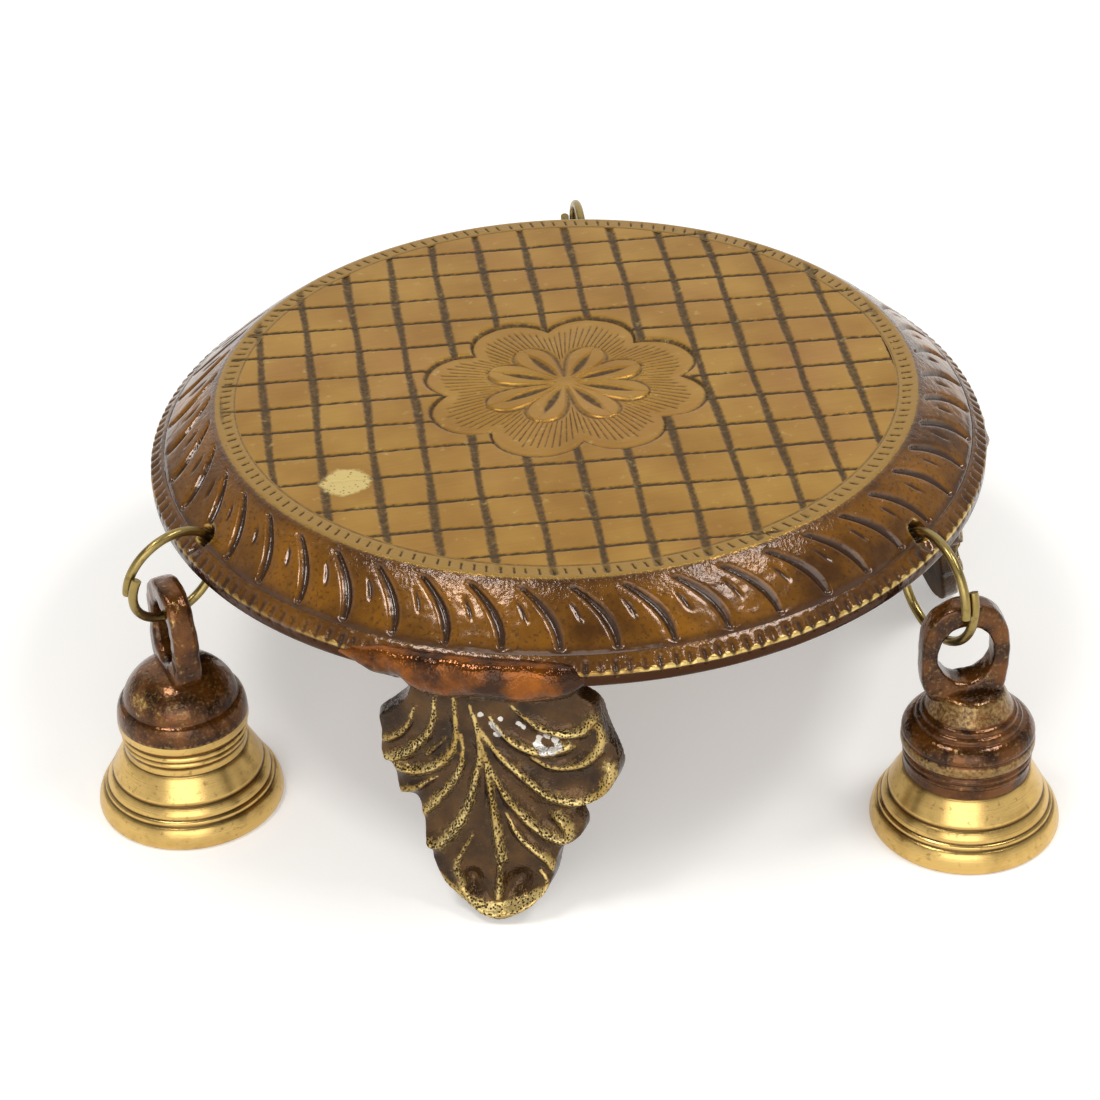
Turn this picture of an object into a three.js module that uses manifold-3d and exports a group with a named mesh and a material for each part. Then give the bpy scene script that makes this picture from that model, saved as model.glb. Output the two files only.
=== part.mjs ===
// A bajot: a low round cast-brass table from western India. A shallow dished top stands on three acanthus
// leaf legs, and three bells hang on wire rings that pass through its rim. Millimetres, +Z up.
// The origin is the centre of the top's upper face, and one leg points along +X.
import * as THREE from "three";
import { mergeVertices } from "three/addons/utils/BufferGeometryUtils.js";
import Module from "manifold-3d";

const wasm = await Module();
wasm.setup();

// Top casting: a flat round plate whose border slopes down to an upright rim
const tableHeight = 94;
const rimRadius = 114.3;
const borderWidth = 19.3;
const slopeDrop = 16;
const rimHeight = 3.7;
const rimLand = 4;
const plateThickness = 4;
const plateBreak = 0.8;
const bandWidth = 3.8;
const bandGroove = 0.7;
const fluteDepth = 1.25;
const fluteHalfWidth = 1.9;
const fluteInset = 1.6;
const fluteMargin = 0.8;
const fluteSlant = 11.2;
const fluteCount = 48;
const topSides = 72;
const hollowSides = 48;

// Legs: solid leaf castings that hook over the rim and screw to bosses under the top.
// Their angles, in degrees about Z, are set out by eye as on the real table, and so are the rings'.
const legAngles = [0, 122, -116.5];
const leafHalfWidth = 33;
const leafInset = 5.3;
const toeFlare = 8.5;
const leafThickness = 8.5;
const leafBulge = 2.4;
const ribHeight = 1.5;
const edgeRound = 1.3;
const leafDraft = 2;
const rootHalfWidth = 19;
const footWidth = 12;
const headHalfWidth = 29;
const headBulge = 3.2;
const headRise = 4;
const headDepth = 7.6;
const headInset = 6;
const padHalfWidth = 15;
const padReach = 7.5;
const padThickness = 5;
const padCorner = 5;
const seatGap = 0.3;

// Leg screws, two to a leg, up into blind holes in the bosses
const screwInset = 1.5;
const screwSpacing = 17;
const screwRadius = 1.75;
const screwHeadRadius = 3.6;
const screwHeadHeight = 2.2;
const screwSlotWidth = 0.9;
const screwSlotDepth = 0.8;
const screwLength = 11.5;
const screwClearance = 0.4;
const bossRadius = 4.6;
const bossDrop = 11;
const holeOverrun = 1;

// Rings: brass wire wound into one turn with its two ends side by side
const wireRadius = 1.15;
const ringRadius = 15;
const tightRingRadius = 13.3;
const ringOverlap = 6.5;
const wireGap = 0.4;
const ringHoleRadius = 2.45;
const ringHoleInset = 6.8;
const holeSink = 2.4;

// Bells: cast, turned on the lathe below, with a cast eye above
const mouthRadius = 25.4;
const bellHeight = 41.5;
const bellWall = 2.4;
const collarRadius = 17.2;
const crownThickness = 5.5;
const neckRadius = 8;
const eyeSideWall = 4;
const eyeTopWall = 6.3;
const eyeThickness = 7;
const eyeBevel = 1.1;
const eyeHoleHalfWidth = 7.3;
const eyeHoleHalfHeight = 8.5;
const eyeHoleRise = 16.2;

// Clappers: a turned drop on a wire hook, swinging on a staple set in the bell's crown
const stapleWire = 0.8;
const stapleHalfWidth = 3.2;
const stapleDrop = 5;
const stapleSink = 2;
const clapperHookRadius = 1.9;
const clapperHookWire = 0.7;
const clapperLength = 22;
const clapperRodRadius = 1.1;
const clapperBallRadius = 4.4;

// How each bell hangs: how far its axis stands beside the ring, how far the wire passes above the middle
// of the eye's hole, and how far the cast eye stands off the bell's axis
const rightBellAside = 4.98;
const rightWireRise = 3.9;
const rightEyeShift = -2.2;
const leftBellAside = -0.6;
const leftWireRise = 5.84;
const leftEyeShift = 0.6;
const backBellAside = -1.04;
const backWireRise = 2.75;
const backEyeShift = 1;

const degree = Math.PI / 180;
const plateRadius = rimRadius - borderWidth;
const leafTopRadius = rimRadius - leafInset;
const screwCircle = plateRadius - screwInset;
const padInnerRadius = screwCircle - padReach;
const crownHeight = bellHeight - crownThickness;
const eyeHalfWidth = eyeHoleHalfWidth + eyeSideWall;
const eyeHeight = eyeHoleRise + eyeHoleHalfHeight + eyeTopWall;
const vec = (x, y, z = 0) => new THREE.Vector3(x, y, z);
const rimTop = -slopeDrop;
const rimBottom = -slopeDrop - rimHeight;
const floor = -tableHeight;

const finishes = {
  plate: { color: 0x8a7c4c, roughness: 0.42, metalness: 1 },
  leaf: { color: 0x4e3a22, roughness: 0.38, metalness: 1 },
  wire: { color: 0x9c8746, roughness: 0.3, metalness: 1 },
  bell: { color: 0xb8924a, roughness: 0.3, metalness: 1 },
  iron: { color: 0x4a4640, roughness: 0.6, metalness: 1 },
};

// Keeps a geometry's points alone, with those that coincide merged
function welded(geometry) {
  geometry.deleteAttribute("normal");
  geometry.deleteAttribute("uv");
  return mergeVertices(geometry);
}

// Turns a closed geometry into a solid that can be joined and cut
function solid(geometry) {
  const merged = welded(geometry);
  return new wasm.Manifold(
    new wasm.Mesh({
      numProp: 3,
      vertProperties: merged.attributes.position.array,
      triVerts: new Uint32Array(merged.index.array),
    }),
  );
}

function namedMesh(name, body, finish) {
  const { vertProperties, triVerts } = body.getMesh();
  const geometry = new THREE.BufferGeometry();
  geometry.setAttribute("position", new THREE.BufferAttribute(new Float32Array(vertProperties), 3));
  geometry.setIndex(new THREE.BufferAttribute(new Uint32Array(triVerts), 1));
  geometry.computeVertexNormals();
  const mesh = new THREE.Mesh(geometry, new THREE.MeshStandardMaterial(finishes[finish]));
  mesh.name = name;
  return mesh;
}

// Revolves a profile of radius and height about Z. It runs from axis to axis, or else is closed here.
function revolved(profile, sides) {
  const open = profile[0][0] > 0;
  const points = (open ? [...profile, profile[0]] : profile).map((point) => new THREE.Vector2(...point));
  return outward(welded(new THREE.LatheGeometry(points, sides).rotateX(Math.PI / 2)));
}

// Joins rings of points, all of one count, into a closed skin with a flat cap at each end
function lofted(rings) {
  const count = rings[0].length;
  const positions = rings.flat().flatMap((p) => [p.x, p.y, p.z]);
  const index = [];
  for (let ring = 0; ring + 1 < rings.length; ring++) {
    for (let i = 0; i < count; i++) {
      const a = ring * count + i;
      const b = ring * count + ((i + 1) % count);
      index.push(a, b, b + count, a, b + count, a + count);
    }
  }
  const last = (rings.length - 1) * count;
  const capOf = (points) => {
    const normal = points[1].clone().sub(points[0]).cross(points[2].clone().sub(points[0])).normalize();
    const across = points[1].clone().sub(points[0]).normalize();
    const along = normal.clone().cross(across);
    return THREE.ShapeUtils.triangulateShape(
      points.map((p) => new THREE.Vector2(p.dot(across), p.dot(along))),
      [],
    );
  };
  for (const [a, b, c] of capOf(rings[0])) index.push(a, c, b);
  for (const [a, b, c] of capOf(rings.at(-1))) index.push(last + a, last + b, last + c);
  const geometry = new THREE.BufferGeometry();
  geometry.setAttribute("position", new THREE.BufferAttribute(new Float32Array(positions), 3));
  geometry.setIndex(index);
  return outward(geometry);
}

// Turns every face round if the closed geometry encloses a negative volume
function outward(geometry) {
  const p = geometry.attributes.position;
  const corner = (i) => vec(p.getX(i), p.getY(i), p.getZ(i));
  const index = Array.from(geometry.index.array);
  let volume = 0;
  for (let i = 0; i < index.length; i += 3) {
    volume += corner(index[i]).dot(corner(index[i + 1]).cross(corner(index[i + 2])));
  }
  if (volume < 0) index.reverse();
  return geometry.setIndex(index);
}

// Moves each edge of a closed outline outwards by a gap and rejoins the corners
function grown(outline, gap) {
  const area = outline.reduce((sum, [x, y], i) => {
    const [nextX, nextY] = outline[(i + 1) % outline.length];
    return sum + x * nextY - nextX * y;
  }, 0);
  const side = Math.sign(area);
  return outline.map(([x, y], i) => {
    const [beforeX, beforeY] = outline.at(i - 1);
    const [afterX, afterY] = outline[(i + 1) % outline.length];
    const into = new THREE.Vector2(x - beforeX, y - beforeY).normalize();
    const out = new THREE.Vector2(afterX - x, afterY - y).normalize();
    const normal = new THREE.Vector2(into.y + out.y, -into.x - out.x).normalize().multiplyScalar(side);
    const reach = gap / Math.max(Math.abs(normal.x * into.y - normal.y * into.x), 0.5);
    return [x + normal.x * reach, y + normal.y * reach];
  });
}

// Section of the border: slope, rim edge, land under the rim and the hollow's own slope
const slopeAt = (radius) => (-(radius - plateRadius) * slopeDrop) / (rimRadius - plateRadius);
const hollowRadius = plateRadius - plateThickness / 2;
const underRim = [rimRadius - rimLand, rimBottom];
const underPlate = [hollowRadius, -plateThickness];
const borderSection = [
  [padInnerRadius, 0],
  [plateRadius, 0],
  [rimRadius, rimTop],
  [rimRadius, rimBottom],
  underRim,
  underPlate,
  [padInnerRadius, -plateThickness],
];

const screwSides = [-1, 1];
const padTop = -plateThickness - bossDrop - seatGap;
const padBottom = padTop - padThickness;

// Stations: where each ring goes through the rim and how it hangs, with angles in degrees about Z from +X.
// Each bell hangs at an angle round its ring from the ring's lowest point, where its mouth just meets the floor.
const stations = [
  {
    name: "right",
    hole: -49.3,
    turn: -76,
    lean: 0,
    drop: 46,
    radius: ringRadius,
    bellRound: 41.43,
    bellAside: rightBellAside,
    wireRise: rightWireRise,
    eyeTurn: -98,
    eyeShift: rightEyeShift,
  },
  {
    name: "left",
    hole: -165.5,
    turn: -156,
    lean: -12,
    drop: 33,
    radius: tightRingRadius,
    bellRound: 1.13,
    bellAside: leftBellAside,
    wireRise: leftWireRise,
    eyeTurn: -170.5,
    eyeShift: leftEyeShift,
  },
  {
    name: "back",
    hole: 72,
    turn: 84,
    lean: 0,
    drop: 46,
    radius: ringRadius,
    bellRound: 34.3,
    bellAside: backBellAside,
    wireRise: backWireRise,
    eyeTurn: 94,
    eyeShift: backEyeShift,
  },
];
const holeCircle = rimRadius - ringHoleInset;
const holeLevel = slopeAt(holeCircle) - holeSink;
const wireSides = 8;
const ringSteps = 34;
const ringSwings = [-25, 0, 20];

// The frame of a ring: its first axis points out from the hole, its third is the ring's own axis
function ringFrame({ hole, turn, lean }) {
  const frame = new THREE.Matrix4().makeTranslation(
    holeCircle * Math.cos(hole * degree),
    holeCircle * Math.sin(hole * degree),
    holeLevel,
  );
  frame.multiply(new THREE.Matrix4().makeRotationZ(turn * degree));
  frame.multiply(new THREE.Matrix4().makeRotationX(Math.PI / 2 + lean * degree));
  return frame;
}

// Where a bell's axis meets its mouth: below the wire it hangs on, and a little beside it
function bellPlace({ bellRound, bellAside, wireRise, drop, radius, ...station }) {
  const across = radius * (Math.cos(drop * degree) + Math.sin(bellRound * degree));
  const down = radius * (Math.sin(drop * degree) + Math.cos(bellRound * degree));
  const place = vec(across, -down).applyMatrix4(ringFrame(station));
  place.x -= bellAside * Math.sin(station.turn * degree);
  place.y += bellAside * Math.cos(station.turn * degree);
  place.z -= wireRise + eyeHoleRise + bellHeight - bellWall;
  return place;
}

// Points round the wire's centre line, as one turn of a helix that overlaps itself at the outer side
class RingPath extends THREE.Curve {
  constructor({ drop, radius }) {
    super();
    this.radius = radius;
    this.centre = vec(radius * Math.cos(drop * degree), -radius * Math.sin(drop * degree));
    this.turns = 1 + ringOverlap / (2 * Math.PI * radius);
    this.start = Math.PI / 8;
  }
  getPoint(t, target = new THREE.Vector3()) {
    const angle = this.start - t * this.turns * 2 * Math.PI;
    const pitch = 2 * wireRadius + wireGap;
    return target.set(
      this.centre.x + this.radius * Math.cos(angle),
      this.centre.y + this.radius * Math.sin(angle),
      (t - 0.5) * this.turns * pitch,
    );
  }
}

function ringSolid(station) {
  const section = new THREE.Shape();
  section.absarc(0, 0, wireRadius, 0, 2 * Math.PI);
  const wire = new THREE.ExtrudeGeometry(section, {
    steps: ringSteps,
    curveSegments: wireSides / 2,
    extrudePath: new RingPath(station),
  });
  return solid(wire.applyMatrix4(ringFrame(station)));
}

// The hole through the border, opened out along the ring's swing so that the wire is free throughout
function ringDrill(station) {
  const reach = 2 * plateThickness;
  const drills = ringSwings.map((swing) => {
    const drill = new THREE.CylinderGeometry(ringHoleRadius, ringHoleRadius, 2 * reach, 12);
    return solid(drill.rotateZ((swing - station.drop) * degree).applyMatrix4(ringFrame(station)));
  });
  return drills.reduce((all, drill) => all.add(drill));
}

// Points evenly spaced round a circle, each with the angle it was placed at
function circleAt([radius, level], count) {
  return Array.from({ length: count }, (_, i) => {
    const angle = (i / count) * 2 * Math.PI;
    return { angle, point: vec(radius * Math.cos(angle), radius * Math.sin(angle), level) };
  });
}

// How far along each flute a row of its points lies, and the flute's depth and width there, as shares
const fluteShares = [
  [0.08, 0.7, 0.5],
  [0.36, 1, 1],
  [0.66, 1, 0.9],
  [0.93, 0.6, 0.5],
];

// One row of points across the slanting flutes: each flute's two edges and the bottom between them
function fluteRow([along, deep, wide]) {
  const from = plateRadius + fluteInset;
  const to = rimRadius - bandWidth - bandGroove - fluteMargin;
  const fall = Math.atan2(slopeDrop, borderWidth);
  const slant = (fluteSlant / (rimRadius - borderWidth / 2)) * (1 - (1 - along) ** 2.3);
  return Array.from({ length: fluteCount }, (_, flute) =>
    [-1, 0, 1].map((side) => {
      const depth = side === 0 ? fluteDepth * deep : 0;
      const base = THREE.MathUtils.lerp(from, to, along);
      const radius = base - depth * Math.sin(fall);
      const level = slopeAt(base) - depth * Math.cos(fall);
      const angle = (flute / fluteCount) * 2 * Math.PI + slant + (side * fluteHalfWidth * wide) / base;
      return { angle, point: vec(radius * Math.cos(angle), radius * Math.sin(angle), level) };
    }),
  ).flat();
}

// Joins circles of points, of any counts, into a closed skin with a flat disc at each end.
// Circles of one count are joined point to point, and others by turning round both together.
function stitched(circles) {
  const positions = circles.flat().flatMap(({ point }) => point.toArray());
  const index = [];
  let first = 0;
  circles.slice(0, -1).forEach((inner, row) => {
    const outer = circles[row + 1];
    const next = first + inner.length;
    const angleOf = (circle, i) => circle[i % circle.length].angle + (i < circle.length ? 0 : 2 * Math.PI);
    let a = 0;
    let b = 0;
    while (a < inner.length || b < outer.length) {
      const even = inner.length === outer.length;
      const step = even ? a <= b : angleOf(inner, a + 1) <= angleOf(outer, b + 1);
      const turnInner = b === outer.length || (a < inner.length && step);
      const from = first + (a % inner.length);
      const over = next + (b % outer.length);
      if (turnInner) index.push(from, over, first + (++a % inner.length));
      else index.push(from, over, next + (++b % outer.length));
    }
    first = next;
  });
  for (let i = 1; i + 1 < circles[0].length; i++) index.push(0, i, i + 1);
  for (let i = 1; i + 1 < circles.at(-1).length; i++) index.push(first, first + i + 1, first + i);
  const geometry = new THREE.BufferGeometry();
  geometry.setAttribute("position", new THREE.BufferAttribute(new Float32Array(positions), 3));
  geometry.setIndex(index);
  return outward(geometry);
}

// The top casting, with its flutes, its ring holes and the bosses for the leg screws
function tableTop() {
  const bandRadius = rimRadius - bandWidth;
  const above = [
    [plateRadius - plateBreak, 0],
    [plateRadius + plateBreak / 2, slopeAt(plateRadius + plateBreak)],
  ];
  const below = [
    [bandRadius, slopeAt(bandRadius) - bandGroove],
    [bandRadius + bandGroove, slopeAt(bandRadius + bandGroove)],
    [rimRadius, rimTop],
    [rimRadius, rimBottom],
    underRim,
  ];
  const circles = [
    ...above.map((point) => circleAt(point, topSides)),
    ...fluteShares.map(fluteRow),
    ...below.map((point) => circleAt(point, topSides)),
    circleAt(underPlate, hollowSides),
  ];
  let top = solid(stitched(circles));
  for (const angle of legAngles) {
    for (const side of screwSides) {
      const place = new THREE.Matrix4().makeRotationZ(angle * degree);
      place.multiply(new THREE.Matrix4().makeTranslation(screwCircle, (side * screwSpacing) / 2, 0));
      const bossTop = -plateThickness * 0.85;
      const bossEnd = -plateThickness - bossDrop;
      const boss = new THREE.CylinderGeometry(bossRadius, bossRadius, bossTop - bossEnd, 10).rotateX(Math.PI / 2);
      top = top.add(solid(boss.translate(0, 0, (bossTop + bossEnd) / 2).applyMatrix4(place)));
      const holeTop = padBottom - seatGap + screwLength + holeOverrun;
      const holeEnd = bossEnd - holeOverrun;
      const holeRadius = screwRadius + screwClearance;
      const hole = new THREE.CylinderGeometry(holeRadius, holeRadius, holeTop - holeEnd, 8).rotateX(Math.PI / 2);
      top = top.subtract(solid(hole.translate(0, 0, (holeTop + holeEnd) / 2).applyMatrix4(place)));
    }
  }
  for (const station of stations) top = top.subtract(ringDrill(station));
  return top;
}

// Half the leaf's outline from under the head to the toe, as shares of its half width and its length.
// The third number is the ribs' relief there: 1 is a crest and 0 is the hollow between two lobes.
const leafShares = [
  [0.6, 0, 0],
  [0.66, 0.05, 0.2],
  [0.95, 0.17, 0.5],
  [1, 0.25, 1],
  [0.985, 0.31, 0.1],
  [1, 0.385, 1],
  [0.94, 0.425, 0.1],
  [0.93, 0.465, 0.5],
  [0.86, 0.52, 1],
  [0.73, 0.545, 0],
  [0.73, 0.61, 0.8],
  [0.69, 0.66, 0.15],
  [0.635, 0.72, 1],
  [0.545, 0.755, 0],
  [0.55, 0.83, 0.8],
  [0.48, 0.92, 0.25],
  [0.34, 0.985, 0.7],
];

function leafOutline() {
  const leafTop = padBottom - headDepth / 2;
  const length = leafTop - floor;
  const half = leafShares.map(([across, down, relief]) => ({
    s: across * leafHalfWidth,
    z: leafTop - down * length,
    relief,
    root: 1 - down,
  }));
  half.push({ s: footWidth / 2, z: floor, relief: 0.9, root: 0.1 });
  const middle = { s: 0, z: floor, relief: 1, root: 0 };
  const other = half.map((point) => ({ ...point, s: -point.s })).reverse();
  return [...half, middle, ...other];
}

// Radius of the leaf's face at a level: upright above, flaring out into the toe below
function leafRadius(z) {
  const down = THREE.MathUtils.clamp((rimBottom - z) / (rimBottom - floor), 0, 1);
  return leafTopRadius + toeFlare * down ** 3;
}

// A leaf grown as a fan: each column runs from the root under the head out to one point of the outline
function leafSolid() {
  const outline = leafOutline();
  const rootLevel = padTop;
  const rows = [0, 0.3, 0.6, 0.88, 1];
  const columnPoint = (point, v, spread) => {
    const rootS = Math.sign(point.s) * rootHalfWidth * point.root ** 1.5;
    const tipS = point.s - Math.sign(point.s) * spread;
    const bendS = rootS + 0.25 * (tipS - rootS);
    const bendZ = rootLevel + 0.85 * (point.z - rootLevel);
    const a = (1 - v) ** 2;
    const b = 2 * v * (1 - v);
    const c = v ** 2;
    return { s: a * rootS + b * bendS + c * tipS, z: a * rootLevel + b * bendZ + c * point.z };
  };
  const front = rows.map((v) =>
    outline.map((point) => {
      const { s, z } = columnPoint(point, v, leafDraft);
      const crown = leafBulge * (1 - (s / leafHalfWidth) ** 2);
      const relief = ribHeight * point.relief * Math.sin(Math.min(v * 1.4, 1) * (Math.PI / 2));
      const round = v === 1 ? edgeRound : 0;
      return vec(leafRadius(z) - leafBulge + crown + relief - round, s, z);
    }),
  );
  const back = [0, 0.5, 1].map((v) =>
    outline.map((point) => {
      const { s, z } = columnPoint(point, v, 0);
      const crown = (leafBulge / 2) * (1 - (s / leafHalfWidth) ** 2);
      return vec(leafRadius(z) - leafThickness + crown, s, z);
    }),
  );
  const sheet = [...front, ...back.reverse()];
  const columns = outline.length;
  const positions = sheet.flat().flatMap((p) => [p.x, p.y, p.z]);
  const index = [];
  for (let row = 0; row < sheet.length; row++) {
    const here = row * columns;
    const next = ((row + 1) % sheet.length) * columns;
    for (let i = 0; i + 1 < columns; i++) {
      index.push(here + i, here + i + 1, next + i + 1, here + i, next + i + 1, next + i);
    }
  }
  for (const [column, turned] of [[0, false], [columns - 1, true]]) {
    const ring = sheet.map((_, row) => row * columns + column);
    for (let i = 1; i + 1 < ring.length; i++) {
      const face = [ring[0], ring[i], ring[i + 1]];
      index.push(...(turned ? face.reverse() : face));
    }
  }
  const geometry = new THREE.BufferGeometry();
  geometry.setAttribute("position", new THREE.BufferAttribute(new Float32Array(positions), 3));
  geometry.setIndex(index);
  return solid(outward(geometry));
}

// The rounded head that hooks over the rim, swept along the rim's arc and tapered at both ends
function headSolid() {
  const outerRadius = rimRadius + headBulge;
  const inner = rimRadius - headInset;
  const top = rimTop + headRise;
  const bottom = rimBottom - headDepth;
  const sectionShares = [
    [0.25, 0.98],
    [0.5, 1],
    [0.78, 0.91],
    [0.96, 0.72],
    [1, 0.5],
    [0.9, 0.28],
    [0.62, 0.08],
    [0.2, 0],
    [-0.4, 0.02],
    [-0.45, 0.35],
  ];
  const alongShares = [-1, -0.93, -0.78, -0.45, 0, 0.45, 0.78, 0.93, 1];
  const tipShare = 0.3;
  const halfAngle = headHalfWidth / outerRadius;
  const noseRadius = rimRadius + headBulge / 2;
  const noseLevel = rimTop - rimHeight / 2;
  const rings = alongShares.map((share) => {
    const swell = tipShare + (1 - tipShare) * Math.sqrt(1 - share ** 2);
    const angle = share * halfAngle;
    return sectionShares.map(([out, up]) => {
      const radius = THREE.MathUtils.lerp(noseRadius, inner + out * (outerRadius - inner), swell);
      const level = THREE.MathUtils.lerp(noseLevel, bottom + up * (top - bottom), swell);
      return vec(radius * Math.cos(angle), radius * Math.sin(angle), level);
    });
  });
  return solid(lofted(rings));
}

// The pad under the top, with rounded inner corners, that the two screws hold
function padSolid() {
  const outer = leafTopRadius - leafThickness + leafBulge / 2;
  const shape = new THREE.Shape();
  shape.moveTo(outer, -padHalfWidth);
  shape.lineTo(outer, padHalfWidth);
  shape.lineTo(padInnerRadius + padCorner, padHalfWidth);
  shape.absarc(padInnerRadius + padCorner, padHalfWidth - padCorner, padCorner, Math.PI / 2, Math.PI);
  shape.absarc(padInnerRadius + padCorner, padCorner - padHalfWidth, padCorner, Math.PI, 1.5 * Math.PI);
  const pad = new THREE.ExtrudeGeometry(shape, { depth: padThickness, bevelEnabled: false, curveSegments: 5 });
  return solid(pad.translate(0, 0, padBottom));
}

function legSolid() {
  const cleared = grown(borderSection, seatGap);
  let leg = leafSolid().add(headSolid()).add(padSolid());
  leg = leg.subtract(solid(revolved(cleared, topSides)));
  for (const side of screwSides) {
    const radius = screwRadius + screwClearance;
    const depth = padThickness + 2 * holeOverrun;
    const hole = new THREE.CylinderGeometry(radius, radius, depth, 8).rotateX(Math.PI / 2);
    leg = leg.subtract(solid(hole.translate(screwCircle, (side * screwSpacing) / 2, padBottom + padThickness / 2)));
  }
  return leg;
}

// A slotted screw with a low domed head, made pointing up with its head's seat at zero
function screwSolid() {
  const profile = [
    [0, -screwHeadHeight],
    [screwHeadRadius * 0.6, -screwHeadHeight * 0.9],
    [screwHeadRadius, -screwHeadHeight * 0.35],
    [screwHeadRadius, 0],
    [screwRadius, 0],
    [screwRadius, screwLength - screwRadius],
    [0, screwLength],
  ];
  const slot = new THREE.BoxGeometry(3 * screwHeadRadius, screwSlotWidth, 2 * screwSlotDepth);
  return solid(revolved(profile, 8)).subtract(solid(slot.translate(0, 0, -screwHeadHeight)));
}

// Outer profile of a bell as shares of the mouth's radius and of the bell's height, mouth first
const bellShares = [
  [0.97, 0],
  [1, 0.03],
  [0.99, 0.075],
  [0.915, 0.16],
  [0.865, 0.2],
  [0.81, 0.265],
  [0.795, 0.295],
  [0.73, 0.4],
  [0.685, 0.475],
];
const collarShares = [
  [0.97, 0.5],
  [1, 0.54],
  [0.955, 0.6],
  [0.985, 0.63],
  [1.01, 0.69],
  [0.97, 0.735],
  [0.9, 0.77],
  [0.875, 0.8],
  [0.78, 0.845],
  [0.755, 0.875],
];

function bellSolid(station) {
  const outer = [
    ...bellShares.map(([across, up]) => [across * mouthRadius, up * bellHeight]),
    ...collarShares.map(([across, up]) => [across * collarRadius, up * bellHeight]),
    [neckRadius, bellHeight],
    [0, bellHeight],
  ];
  const inner = [
    [0, crownHeight],
    [collarRadius * 0.72, crownHeight - bellWall * 1.9],
    [collarRadius - bellWall, bellHeight * 0.7],
    [collarRadius - bellWall, bellHeight * 0.5],
    [mouthRadius * 0.8 - bellWall, bellHeight * 0.29],
    [mouthRadius * 0.97 - bellWall, 0],
  ];
  let bell = solid(revolved([...inner, ...outer], 24));
  bell = bell.add(eyeSolid(station));
  for (const side of screwSides) {
    const radius = stapleWire + screwClearance;
    const sink = stapleSink + seatGap;
    const hole = new THREE.CylinderGeometry(radius, radius, 2 * sink, 8).rotateX(Math.PI / 2);
    bell = bell.subtract(solid(hole.translate(0, side * stapleHalfWidth, crownHeight)));
  }
  return bell;
}

// The cast eye: a thick rounded link standing on the bell's crown, with its hole along X
const eyeShares = [
  [0.62, 0],
  [0.78, 0.12],
  [0.95, 0.32],
  [1, 0.52],
  [0.96, 0.72],
  [0.8, 0.9],
  [0.5, 0.99],
];

function eyeSolid({ eyeShift }) {
  const half = eyeShares.map(([across, up]) => new THREE.Vector2(across * eyeHalfWidth, up * eyeHeight));
  const other = half.map((p) => new THREE.Vector2(-p.x, p.y)).reverse();
  const shape = new THREE.Shape([...half, ...other]);
  const hole = new THREE.Path();
  hole.absellipse(0, eyeHoleRise, eyeHoleHalfWidth, eyeHoleHalfHeight, 0, 2 * Math.PI, true);
  shape.holes.push(hole);
  const eye = new THREE.ExtrudeGeometry(shape, {
    depth: eyeThickness - 2 * eyeBevel,
    bevelThickness: eyeBevel,
    bevelSize: eyeBevel,
    bevelOffset: -eyeBevel,
    bevelSegments: 1,
    curveSegments: 6,
  });
  eye.translate(0, 0, eyeBevel - eyeThickness / 2);
  return solid(eye.rotateX(Math.PI / 2).rotateZ(Math.PI / 2).translate(0, eyeShift, bellHeight - bellWall));
}

// A wire staple, open end up, whose two ends are set in the crown
function stapleSolid() {
  const legTop = crownHeight + stapleSink;
  const barLevel = crownHeight - stapleDrop;
  const bend = stapleHalfWidth / 2;
  const path = new THREE.CurvePath();
  path.add(new THREE.LineCurve3(vec(0, -stapleHalfWidth, legTop), vec(0, -stapleHalfWidth, barLevel + bend)));
  path.add(new THREE.QuadraticBezierCurve3(vec(0, -stapleHalfWidth, barLevel + bend),
    vec(0, -stapleHalfWidth, barLevel), vec(0, bend - stapleHalfWidth, barLevel)));
  path.add(new THREE.LineCurve3(vec(0, bend - stapleHalfWidth, barLevel), vec(0, stapleHalfWidth - bend, barLevel)));
  path.add(new THREE.QuadraticBezierCurve3(vec(0, stapleHalfWidth - bend, barLevel),
    vec(0, stapleHalfWidth, barLevel), vec(0, stapleHalfWidth, barLevel + bend)));
  path.add(new THREE.LineCurve3(vec(0, stapleHalfWidth, barLevel + bend), vec(0, stapleHalfWidth, legTop)));
  const section = new THREE.Shape();
  section.absarc(0, 0, stapleWire, 0, 2 * Math.PI);
  const wire = new THREE.ExtrudeGeometry(section, { steps: 8, curveSegments: 3, extrudePath: path });
  return solid(wire);
}

// The clapper hangs from the staple's bar by a closed wire hook
function clapperSolid() {
  const barLevel = crownHeight - stapleDrop;
  const hookLevel = barLevel - clapperHookRadius + stapleWire + seatGap + clapperHookWire;
  const section = Array.from({ length: 5 }, (_, i) => {
    const angle = (i / 5) * 2 * Math.PI;
    return [clapperHookRadius + clapperHookWire * Math.cos(angle), clapperHookWire * Math.sin(angle)];
  });
  const hook = solid(revolved(section, 10).rotateX(Math.PI / 2).translate(0, 0, hookLevel));
  const ballLevel = hookLevel - clapperLength;
  const rodTop = hookLevel - clapperHookRadius;
  const profile = [
    [0, ballLevel - clapperBallRadius],
    [clapperBallRadius * 0.7, ballLevel - clapperBallRadius * 0.75],
    [clapperBallRadius, ballLevel],
    [clapperBallRadius * 0.75, ballLevel + clapperBallRadius * 0.7],
    [clapperRodRadius * 1.3, ballLevel + clapperBallRadius * 1.6],
    [clapperRodRadius, rodTop - clapperRodRadius],
    [clapperRodRadius * 0.5, rodTop],
    [0, rodTop],
  ];
  return hook.add(solid(revolved(profile, 8)));
}

const table = new THREE.Group();
table.add(namedMesh("table_top", tableTop(), "plate"));

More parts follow.
